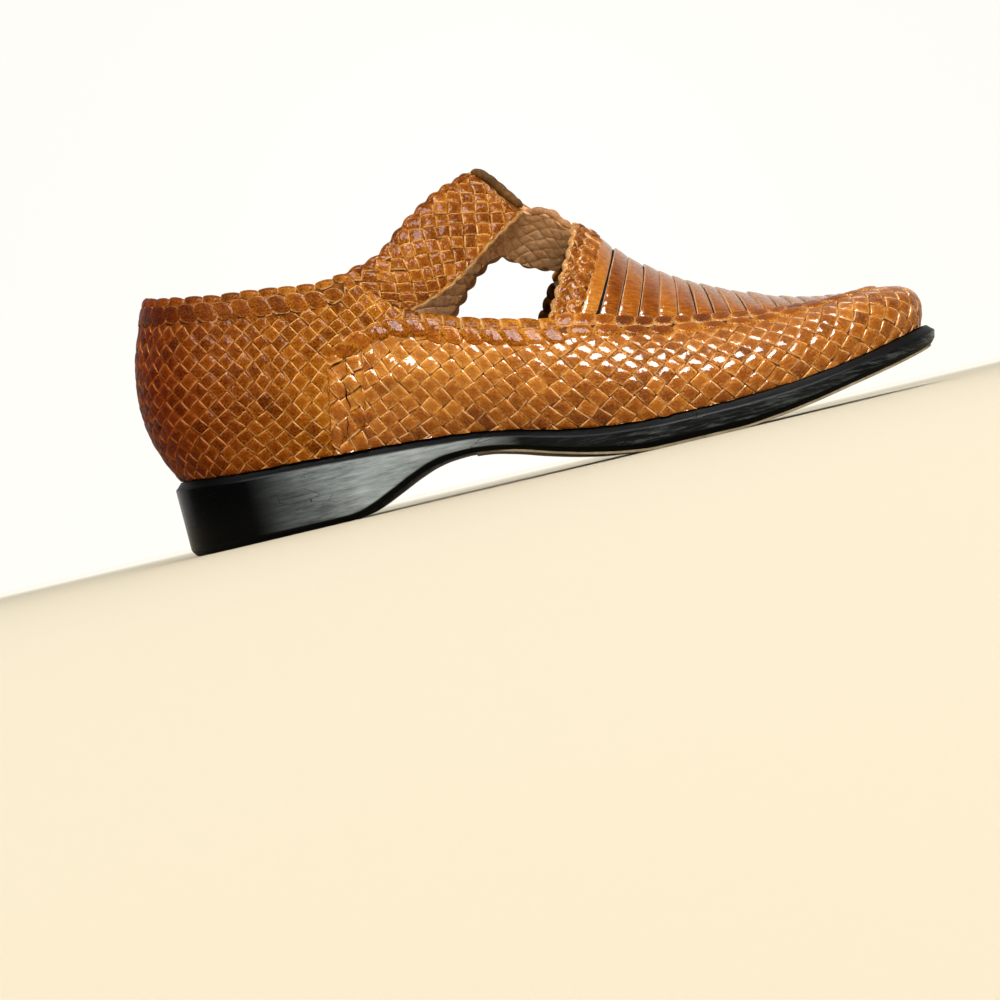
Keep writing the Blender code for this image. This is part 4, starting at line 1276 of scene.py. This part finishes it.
def edge_fold(name, sheet, path, material, size=1.0, wave=0.3, period=6.2, turned=1, light=0.8, seed=1,
              dark=0.0):
    """Folded edge along a path: a turned-over strip that laps the leather's thickness, gently scalloped and
    dying away at its ends. turned is -1 where the leather lies on the path's left."""
    chance = np.random.default_rng(seed)
    a, b, stops, _, up, out = frames(sheet, path, 0.8, 0.0)
    up = up * turned
    phase = chance.uniform(0, 3)
    profile = ((-1.5, -2.0), (-0.2, -2.3), (0.75, -2.0), (1.1, -1.1), (0.95, -0.15), (0.35, 0.42),
               (-0.7, 0.5), (-1.5, 0.1))
    scallop = wave * (2 * np.abs(np.sin(math.pi * stops / period + phase + 0.25 * np.sin(stops / 9.0))) - 1)
    base = sheet.at(a, b)
    from_end = np.clip(np.minimum(stops, stops[-1] - stops) / 2.5, 0, 1)
    size = size * (0.3 + 0.7 * np.sin(from_end * math.pi / 2))
    rings = []
    for y, z in profile:
        rise = y * size + (scallop if y > -1 else 0)
        depth = (z + 0.85) * size - 0.85 + (0.5 * scallop if z > -1.5 else 0)
        rings.append(base + up * np.reshape(rise, (-1, 1)) + out * np.reshape(depth, (-1, 1)))
    faces = grid_faces(len(profile), len(stops))
    if turned < 0:
        faces = [face[::-1] for face in faces]
    glow = np.repeat([0.0, 0.2, light, light, light, light, light * 0.6, 0.0], len(stops))
    tone = np.tile(0.5 - dark + 0.25 * np.sin(stops / 2.7 + phase), len(profile))
    beside = np.repeat(np.arange(len(profile)) * 1.2, len(stops))
    uv = np.stack([np.tile(stops, len(profile)), beside], -1) * MM
    marks = {"rim": glow, "sink": np.zeros(len(glow)), "tint": tone}
    finish_piece(make_mesh(name, np.array(rings).reshape(-1, 3), faces, marks, uv), material)


def edge_path(sheet, start, stop, inset=0.0, far=True, steps=80):
    """Path along a sheet's far edge (b at its width) or near edge (b at 0), from start to stop."""
    a = np.linspace(start, stop, steps)
    return np.stack([a, sheet.width(a) - inset if far else np.full(steps, inset)], axis=-1)


def across_path(a, start, stop, steps):
    """Path straight across a sheet."""
    return np.stack([np.full(steps, a), np.linspace(start, stop, steps)], axis=-1)


BRAID_PITCH = 6.3
BRAID_OFFSET = 0.85    # the lower row's links sit between those of the upper row


def make_braids():
    """Folded strip ends round the collar and the side openings, with the overlapped row beneath them."""
    ends = {"outer": wall_at(OUTER_THROAT, OUTER_SIDE), "inner": wall_at(INNER_THROAT, INNER_SIDE)}
    for side, flip, first_seed in (("outer", 1, 20), ("inner", -1, 40)):
        mirrored = side == "inner"
        dome = wrap_link("dome", 6.7, 2.0, 2.3, 0.6, mirrored, hem=0.9)
        twist = wrap_link("twist", 7.0, 3.2, 4.4, 0.85, mirrored, hem=0.5, taper=0.08, pucker=1.0, pale=2.2)
        scale = pillow_link("scale", 8.0, 7.4, 0.6, 2.4, lean=-0.45 * flip)
        slat = pillow_link("slat", 7.0, 6.6, 0.8, 3.2, lean=-0.6 * flip, top_highlight=0.7, outline=0.5)
        under_scale = crease_link("under_scale", 7.0, 7.2, flip)
        end = ends[side]
        back, root, ridge = 0, OUTER_ROOT_AT, OUTER_RIDGE
        if mirrored:
            back, root, ridge = WALL.length, INNER_ROOT_AT[::-1], INNER_RIDGE
        collar = (back, root[0] + 3 * flip)
        opening = (root[1] - flip, end + 2 * flip)
        rail = edge_path(WALL, collar[0], collar[1] - 6 * flip, 5.6)[::flip]
        tail = np.linspace(ridge[-1][0] + 4 * flip, end + flip, 30)
        lower_rail = np.array(ridge + [(a, WALL.width(a) - 7.2) for a in tail])[::flip]

        seed = first_seed
        row = spots_on(WALL, edge_path(WALL, *sorted(collar)), BRAID_PITCH, 0.0, seed + 1)
        lay_links(f"{side}_collar_domes", row, dome, QUARTER, turn=0.03, uneven=0.05, seed=seed)
        row = spots_on(WALL, rail, BRAID_PITCH, 0.12, seed + 2, BRAID_OFFSET, dark=0.15)
        # The link at the strap's root is smaller and paler.
        last = row.pop(0 if mirrored else -1)
        row.append(last[:4] + (last[4] * 0.72, last[5] + 0.25))
        lay_links(f"{side}_collar_scales", row, scale, QUARTER, turn=0.1, uneven=0.06, seed=seed + 3)
        # A strip of painted shade under each scale, where it folds under the next.
        row = spots_on(WALL, rail, BRAID_PITCH, 0.42, seed + 2, BRAID_OFFSET)
        lay_links(f"{side}_collar_creases", row, under_scale, DEEP, turn=0.12, uneven=0.05, seed=seed + 4)

        seed = first_seed + 5
        row = spots_on(WALL, edge_path(WALL, *sorted(opening)), BRAID_PITCH, 0.0, seed + 1, dark=0.3)
        lay_links(f"{side}_opening_domes", row, twist, QUARTER, turn=0.03, uneven=0.05, seed=seed)
        row = spots_on(WALL, lower_rail, BRAID_PITCH, 0.12, seed + 2, BRAID_OFFSET, dark=0.1)
        row = tilt_out(row, WALL, lower_rail, BRAID_PITCH, BRAID_OFFSET, 8.0, 0.7)
        lay_links(f"{side}_opening_scales", row, slat, BRAIDED, turn=0.1, uneven=0.06, seed=seed + 3)
        drop_links(dome, twist, scale, slat, under_scale)


def dark_join(name, sheet, path, width, lift, seed):
    """Thin dark wandering line along a path, where leather is drawn together and shades itself."""
    chance = np.random.default_rng(seed)
    a, b, stops, _, up, out = frames(sheet, path, 0.6, 0.0)
    wander = 0.55 * np.sin(stops / 2.1 + seed) + 0.35 * np.sin(stops / 0.9 + 2 * seed)
    wander = wander + chance.normal(0, 0.05, len(a))
    thick = width * (0.6 + 0.4 * np.sin(stops / 1.7 + seed))
    thick = thick * np.sin(np.linspace(0.15, math.pi - 0.15, len(a)))
    base = sheet.at(a, b)
    rows = [base + up * (wander + thick * step)[:, None] + out * (lift + fall)
            for step, fall in ((1, -0.25), (0, 0.0), (-1, -0.25))]
    finish_piece(make_mesh(name, np.array(rows).reshape(-1, 3), grid_faces(3, len(a))), SHADE)


def fit_seam(side):
    """Keeps a point of the wall within the laced band over a side seam, below the vamp's upper braid."""
    top = seam_path(side, 0.0)[-1][1]
    band = SEAM_BRAID + 0.5

    def fit(a, b):
        b = np.clip(b, 0.15, top + 0.5)
        past = past_seam(WALL.at(a, b))
        return a + side * (past - np.clip(past, -band, band)), b
    return fit


def make_seams():
    """The side seams, laced over in large crushed cells with the dark join wandering between them."""
    for side, name, ends in ((OUTER_SIDE, "outer", (25, 115)),
                             (INNER_SIDE, "inner", (WALL.length - 115, WALL.length - 25))):
        lattice = Lattice(*[(end, 24, 58, 5.8) for end in ends])
        weave(f"{name}_seam_cells", WALL, lattice, fit_seam(side), 9, WOVEN, high=0.8, low=-0.1, loose=3.0,
              half=0.5)
        dark_join(f"{name}_seam_join", WALL, seam_path(side, 0.0, 3.0), 0.26, 1.2, 5)
        dark_join(f"{name}_seam_crease", WALL, seam_path(side, 5.2, 8.0)[:44], 0.18, 0.95, 8)


def make_strap_edges():
    """Braided rear edges, folded front edges, and the smooth doubled lip where the strap is creased."""
    fold_from, fold_to = (float(INNER.along[ARM_STEPS * row]) for row in (CREASE_ROW + 1, CREASE_ROW + 2))
    end = OUTER.length
    edge_fold("outer_strap_hem", OUTER, edge_path(OUTER, 1.0, end - 2.4, far=False), STRAP, 0.9, 0.4, 6.4,
              light=0.3, seed=5, dark=0.15)
    edge_fold("inner_strap_hem", INNER, edge_path(INNER, 1.0, fold_from - 1.5, far=False), STRAP, 1.0, 0.42,
              6.6, -1, light=0.3, seed=6, dark=0.15)
    edge_fold("outer_strap_fold", OUTER, edge_path(OUTER, 1.0, end - 0.5), STRAP, 0.85, 0.3, 5.8, -1)
    b = np.linspace(0.6, OUTER.width(end) - 0.6, 40)
    crease = np.stack([end - fold_inset(b), b], axis=-1)
    edge_fold("strap_crease_fold", OUTER, crease, STRAP, 0.75, 0.2, 4.6, light=0.9)
    end = INNER.length - 1.0
    edge_fold("inner_strap_fold", INNER, edge_path(INNER, 1.0, end), SHADED_FOLD, 0.9, 0.65, 6.4, seed=3)
    edge_fold("bar_fold", INNER, edge_path(INNER, fold_to + 0.5, end, far=False), SHADED_FOLD, 0.9, 0.5, 6.4, -1,
              seed=4)
    edge_fold("crease_lip", INNER, edge_path(INNER, fold_from - 1.2, fold_to, far=False), LIP, 1.2, 0.14, 4.3,
              -1, light=0.0)


# ---------------------------------------------------------------------------------------------------------
# The plug over the toes: smooth bands side by side, with slits between them
# ---------------------------------------------------------------------------------------------------------

BAND_STARTS = [145.6, 151.2, 157.4, 164.2, 170.9, 177.6, 184.0, 189.9, 195.5, 201.2, 206.6, 212.1, 217.5,
               222.9, 228.2, 233.0, 237.0, 240.2, 242.7]
BAND_GAPS = [0.35, 0.85, 0.3, 0.5, 0.15, 0.4, 0.55, 0.6, 0.3, 0.5, 0.2, 0.5, 0.3, 0.4, 0.25, 0.35, 0.3, 0.25,
             0.2]
# How pale each band is, from the throat to the toe.
BAND_TONES = [0.85, 0.10, 0.50, 0.15, 0.65, 0.35, 0.50, 0.30, 0.55, 0.35, 0.50, 0.25, 0.50, 0.40, 0.50, 0.35,
              0.50, 0.40]
BAND_WIDTH = 5.5
# A band from its rear edge to its front edge: share of its width, height, and how bare its edge is there.
BAND_PROFILE = ((0.0, -0.5, 1.0), (0.0, 0.70, 0.95), (0.05, 0.88, 0.5), (0.3, 0.86, 0.0), (0.6, 0.76, 0.0),
                (0.94, 0.50, 0.4), (1.0, 0.32, 0.95), (1.0, -0.5, 1.0))


def make_bands():
    """Eighteen glazed bands over the toes, rear edges proud and front edges low, over a near-black sheet of
    painted shade that shows in the slits.
    """
    first = int(plug_row(BAND_STARTS[0] - 1))
    under = PLUG.points[first:] + PLUG.normals[first:] * 0.1
    lining = make_mesh("slit_lining", under.reshape(-1, 3), grid_faces(*under.shape[:2]))
    finish_piece(lining, SHADE)
    chance = np.random.default_rng(41)
    shares = np.linspace(-0.985, 0.985, 41)
    columns = (shares + 1) / 2 * (PLUG.points.shape[1] - 1)
    ends = np.abs(shares)
    tuck = np.clip((ends - 0.88) / 0.105, 0, 1) ** 2 * 0.4
    # The bands' ends are darkened where they tuck under the wall: painted shade.
    sunk = np.clip((ends - 0.85) / 0.15, 0, 1) * 0.7
    gaps = [gap * (0.75 + 0.5 * np.sin(3.1 * shares + chance.uniform(0, 6.3)) ** 2) for gap in BAND_GAPS]
    points, faces, rim, tint, uv = [], [], [], [], []
    for k, tone in enumerate(BAND_TONES):
        start = BAND_STARTS[k] + gaps[k] / 2
        stop = BAND_STARTS[k + 1] - gaps[k + 1] / 2
        wave = 0.12 * np.sin(4 * shares + chance.uniform(0, 6.3))
        faces += grid_faces(len(BAND_PROFILE), len(shares), len(points))
        thick = 1.0 + chance.uniform(-0.12, 0.18)
        offset = chance.uniform(0, 1, 2)
        for across, lift, edge in BAND_PROFILE:
            height = lift * thick + (wave if lift > 0 else 0) - tuck
            line = PLUG.sample(plug_row(start + (stop - start) * across), columns, height)
            length = running_length(line)
            points.extend(line)
            rim.extend([edge] * len(shares))
            tint.extend([tone] * len(shares))
            down = np.full(len(length), across * BAND_WIDTH * MM + offset[1])
            uv.extend(np.stack([length * MM + offset[0], down], -1))
    marks = {"rim": rim, "sink": np.tile(sunk, len(points) // len(shares)), "tint": tint}
    finish_piece(make_mesh("plug_bands", points, faces, marks, uv), BANDED)


def make_throat():
    """The woven throat piece behind the first band, finer and more crumpled than the sides, woven in two
    stretches across the instep."""
    end = plug_at(BAND_STARTS[0] - 0.3)
    lattice = Lattice((-12, 45, 45, 4.0), (30, 45, 45, 4.0))
    split = 62.0
    for k, (start, stop) in enumerate(((0.0, split), (split, split + 200.0))):
        def fit(a, b, start=start, stop=stop):
            b = np.clip(b + start, 0.5, PLUG.width(a) - 0.5)
            return np.clip(a, 0.1, end), np.clip(b, start, stop) - start
        stretch = Sheet(PLUG.points, start=start)
        weave(f"throat_weave_{k}", stretch, lattice, fit, 51 + k, THROAT, high=1.0, low=-0.3, loose=3.2)


def make_throat_edges():
    """Scalloped rear edge of the throat piece, in heavier lobes on the far side, and its front lobes."""
    heavy = wrap_link("heavy", 5.6, 0.6, 3.6, 1.6)
    front = pillow_link("front_lobe", 6.6, 6.4, 0.8, 2.5, lean=0.15)
    width = float(PLUG.width(0.0))
    split = width * (1 + BAR_ON_THROAT[1]) / 2
    edge_fold("throat_rear_edge", PLUG, across_path(0.0, 0.5, split, 60), THROAT, 1.1, 0.55, 5.6,
              light=0.75, seed=81)
    # The far side's lobes are made near black: painted shade.
    row = spots_on(PLUG, across_path(0.0, split, width - 0.5, 40), 5.0, 0.0, 82, size=(1, 1.5, 1.2),
                   dark=0.3)
    lay_links("throat_far_lobes", row, heavy, DEEP, turn=0.04, uneven=0.04, seed=82)
    at = plug_at(BAND_STARTS[0] - 2.4)
    row = spots_on(PLUG, across_path(at, 0.8, PLUG.width(at) - 0.8, 80), 6.0, 0.3, 83)
    lay_links("throat_front_lobes", row, front, BRAIDED, turn=0.25, uneven=0.1, seed=83)
    drop_links(heavy, front)


def make_plug_rows():
    """Two rows of braid cells where the bands' ends tuck under the wall, all round the plug."""
    tight = pillow_link("tight", 6.9, 5.2, 0.6, 4.2, lean=0.2, outline=0.5, dive=0.3)
    broad = pillow_link("broad", 9.2, 5.0, 0.8, 2.5, lean=-0.25, top_highlight=0.35, outline=0.5, dive=0.2)
    for name, link, inset, pitch, lift, offset, dark, depth, amount, seed in (
            ("plug_edge_cells", tight, 1.3, 6.5, 0.55, 0.5, 0.25, 10.0, 1.1, 62),
            ("plug_rail_cells", broad, 6.1, 8.9, 0.35, 0.9, -0.05, 8.0, 0.9, 67)):
        path = edge_path(WALL, *PLUG_ROWS_AT, inset, steps=300)
        spots = spots_on(WALL, path, pitch, lift, seed, offset, dark=dark)
        spots = tilt_out(spots, WALL, path, pitch, offset, depth, amount)
        lay_links(name, spots, link, BRAIDED, turn=0.1, uneven=0.1, seed=10)
    drop_links(tight, broad)


# ---------------------------------------------------------------------------------------------------------
# Sole unit, tread and sock
# ---------------------------------------------------------------------------------------------------------

def stack(name, xs, levels):
    """Closed solid of rings from the top down, capped at both ends. A level gives how far out of the feather
    line its ring runs at x, how high, and whether the sole's painted sheen is kept off it."""
    count = 2 * len(xs)
    points, faces = [], []
    for offset, height, _ in levels:
        for side, order in ((OUTER_SIDE, xs), (INNER_SIDE, xs[::-1])):
            for x in order:
                point = feather_point(x, side) + outward(x, side) * offset(x)
                points.append((point[0], point[1], height(x)))
    last = (len(levels) - 1) * count
    for start in range(0, last, count):
        faces += [(start + count + i, start + count + (i + 1) % count, start + (i + 1) % count, start + i)
                  for i in range(count)]
    for i in range(count // 2 - 1):
        strip = (i, i + 1, count - 2 - i, count - 1 - i)
        faces += [strip, tuple(last + k for k in reversed(strip))]
    piece = make_mesh(name, points, faces, {"rim": np.repeat([kept for _, _, kept in levels], count)})
    piece.modifiers.new("merge", "WELD").merge_threshold = 0.00001
    make_plain(piece).set_sharp_from_angle(angle=math.radians(38))
    return piece


def rim_height(x):
    return smooth(SOLE_RIM, "height", x)


def overhang(x):
    return smooth(SOLE_RIM, "overhang", x)


def feather_height(x):
    return smooth(FEATHER_LINE, "height", x)


def sole_xs(start=FEATHER_BACK):
    heel = [FEATHER_BACK + HEEL_ROUND * (1 - math.cos(a)) for a in np.linspace(0, math.pi / 2, 25)]
    middle = list(np.arange(FEATHER_BACK + HEEL_ROUND + 2, TOE_START, 2.0))
    toe = [TOE_START + (FEATHER_FRONT - TOE_START) * math.sin(a) for a in np.linspace(0, math.pi / 2, 31)]
    return [x for x in heel + middle + toe if x >= start]


def make_sole():
    def thick(x):
        return feather_height(x) - rim_height(x)

    sole = stack("sole_body", sole_xs(), [
        (lambda x: -0.9, lambda x: feather_height(x) + 0.9, 1),
        (lambda x: -0.4, feather_height, 1),
        (lambda x: max(overhang(x) - 2.3, -0.6), feather_height, 1),
        (lambda x: overhang(x) - 0.75, lambda x: feather_height(x) - min(1.7, 0.22 * thick(x)), 1),
        (lambda x: overhang(x) - 0.2, lambda x: feather_height(x) - min(2.1, 0.28 * thick(x)), 1),
        (overhang, lambda x: feather_height(x) - min(2.7, 0.36 * thick(x)), 0),
        (lambda x: overhang(x) - 0.25, lambda x: rim_height(x) + thick(x) * 0.5, 0),
        (lambda x: overhang(x) - 0.5, lambda x: rim_height(x) + 0.6 + min(1.9, thick(x) * 0.22), 0),
        (lambda x: overhang(x) - 0.85, lambda x: rim_height(x) + 0.5 + min(1.4, thick(x) * 0.17), 1),
        (lambda x: overhang(x) - 1.7, lambda x: rim_height(x) + 0.55, 1),
        (lambda x: overhang(x) - 2.5, lambda x: rim_height(x) + 0.1, 1),
        (lambda x: overhang(x) - 3.4, rim_height, 1),
        (lambda x: overhang(x) - 9.0, rim_height, 1),
    ])
    finish_piece(sole, BLACK, ("sole_unit",))


def make_tread():
    def edge(x):
        return overhang(x) - 2.2 - 3.2 * max(0.0, 1 - (x - TREAD_START) / 14)

    tread = stack("tread_sheet", sole_xs(TREAD_START + 0.6), [
        (edge, lambda x: rim_height(x) + 0.25, 0),
        (edge, lambda x: max(rim_height(x) - 0.45, 0.1), 0),
        (lambda x: edge(x) - 0.3, lambda x: rim_height(x) - 0.6, 0),
        (lambda x: overhang(x) - 10.0, lambda x: rim_height(x) - 0.6, 0),
    ])
    finish_piece(tread, TREAD, ("tread",))


def make_sock():
    def top(x):
        return feather_height(x) + SEAM_GAP + INSOLE_THICK

    sock = stack("sock_sheet", sole_xs(), [
        (lambda x: -INSOLE_INSET - 4.0, lambda x: top(x) + 0.15, 0),
        (lambda x: -INSOLE_INSET - 0.8, top, 0),
        (lambda x: -INSOLE_INSET - 0.2, lambda x: top(x) - 0.3, 0),
        (lambda x: -INSOLE_INSET, lambda x: top(x) - 0.9, 0),
        (lambda x: -INSOLE_INSET, lambda x: feather_height(x) + SEAM_GAP, 0),
    ])
    finish_piece(sock, LINING, ("insole",))


# ---------------------------------------------------------------------------------------------------------
# Studio
# ---------------------------------------------------------------------------------------------------------

ROLL = math.radians(13.3)


def make_camera():
    """Level with the heel's foot on the outer side, half a metre off, rolled so that the toe rides up."""
    data = bpy.data.cameras.new("camera")
    data.sensor_width = 36.0
    data.lens = 51.61
    data.clip_start = 0.001
    data.clip_end = 20.0
    camera = add_object("camera", data)
    stand = Vector((-0.02316, -0.500, 0.004))
    forward = (Vector((-0.02316, 0.0, -0.005)) - stand).normalized()
    right = forward.cross(Vector((0, 0, 1))).normalized()
    up = right.cross(forward)
    across = right * math.cos(ROLL) - up * math.sin(ROLL)
    above = right * math.sin(ROLL) + up * math.cos(ROLL)
    turn = Matrix((across, above, -forward)).transposed().to_4x4()
    camera.matrix_world = Matrix.Translation(stand) @ turn
    bpy.context.scene.camera = camera


def studio_paper():
    """Matt cream paper, flat. From 0.1 to 0.7 m back its colour fades into a painted glow of emission that
    stands in for paper sweeping up behind the shoe into the light.
    """
    material, add, shader = new_material("matt_studio_paper")
    axes = add("SeparateXYZ", None, {"Vector": add("TexCoord").outputs["Object"]}).outputs
    back = add("MapRange", {**spread(0.10, 0.7), **SOFTLY}, {"Value": axes["Y"]})
    paper = add("Mix", {**BLEND, 6: "#BDB39B", 7: "#000000"}, {0: back})
    add(shader, {"Emission Color": "#F6F1E2", "Roughness": 0.9},
        {"Base Color": paper, "Emission Strength": back})
    return material


def lit_wall():
    """White wall, lit evenly."""
    material, add, shader = new_material("lit_studio_wall")
    add(shader, {"Base Color": "#101010", "Emission Color": "#FDFBF6", "Emission Strength": 1.0})
    return material


# name, stand, aim, width, depth, watts, colour, whether it lights the leather, whether the glaze mirrors it
LIGHTS = (
    ("overhead_softbox", (0.02, -0.32, 0.95), (0.0, 0.0, 0.03), 0.9, 0.5, 7.6, "#FFFBF2", True, False),
    ("window_glint", (0.22, -0.62, 0.88), (0.03, 0.0, 0.03), 0.52, 0.52, 58.0, "#FFFFFF", False, True),
    ("front_fill", (0.22, -1.3, 0.60), (0.0, 0.0, 0.03), 0.9, 0.5, 16.0, "#FFF9F0", True, False),
)


def make_studio():
    """Pale floor before a bright wall, lit by a softbox overhead, a small window and a soft fill."""
    for name, corners, material in (
            ("studio_floor", [(-7, -7, 0), (7, -7, 0), (7, 7, 0), (-7, 7, 0)], studio_paper()),
            ("studio_wall", [(-7, 2.6, 0), (7, 2.6, 0), (7, 2.6, 5), (-7, 2.6, 5)], lit_wall())):
        data = bpy.data.meshes.new(name)
        data.from_pydata(corners, [], [(0, 1, 2, 3)])
        data.materials.append(material)
        add_object(name, data)
    for name, stand, aim, wide, recess_shade, power, colour, lit, mirrored in LIGHTS:
        lamp = bpy.data.lights.new(name, "AREA")
        lamp.shape = "RECTANGLE"
        lamp.size = wide
        lamp.size_y = recess_shade
        lamp.energy = power
        lamp.color = srgb(colour)[:3]
        light = add_object(name, lamp)
        light.location = stand
        light.rotation_euler = (Vector(aim) - Vector(stand)).to_track_quat("-Z", "Y").to_euler()
        light.visible_diffuse = lit
        light.visible_glossy = mirrored
    world = bpy.data.worlds.new("studio_air")
    world.use_nodes = True
    add_node(world.node_tree, world.node_tree.nodes["Background"], {"Color": "#F4F4F4", "Strength": 0.2})
    bpy.context.scene.world = world
    bpy.context.scene.view_settings.view_transform = "Standard"


make_camera()
make_studio()
make_shells()
make_wall_weave()
make_strap_weave()
make_seams()
make_braids()
make_strap_edges()
make_bands()
make_throat()
make_throat_edges()
make_plug_rows()
make_sole()
make_tread()
make_sock()

bpy.context.view_layer.update()
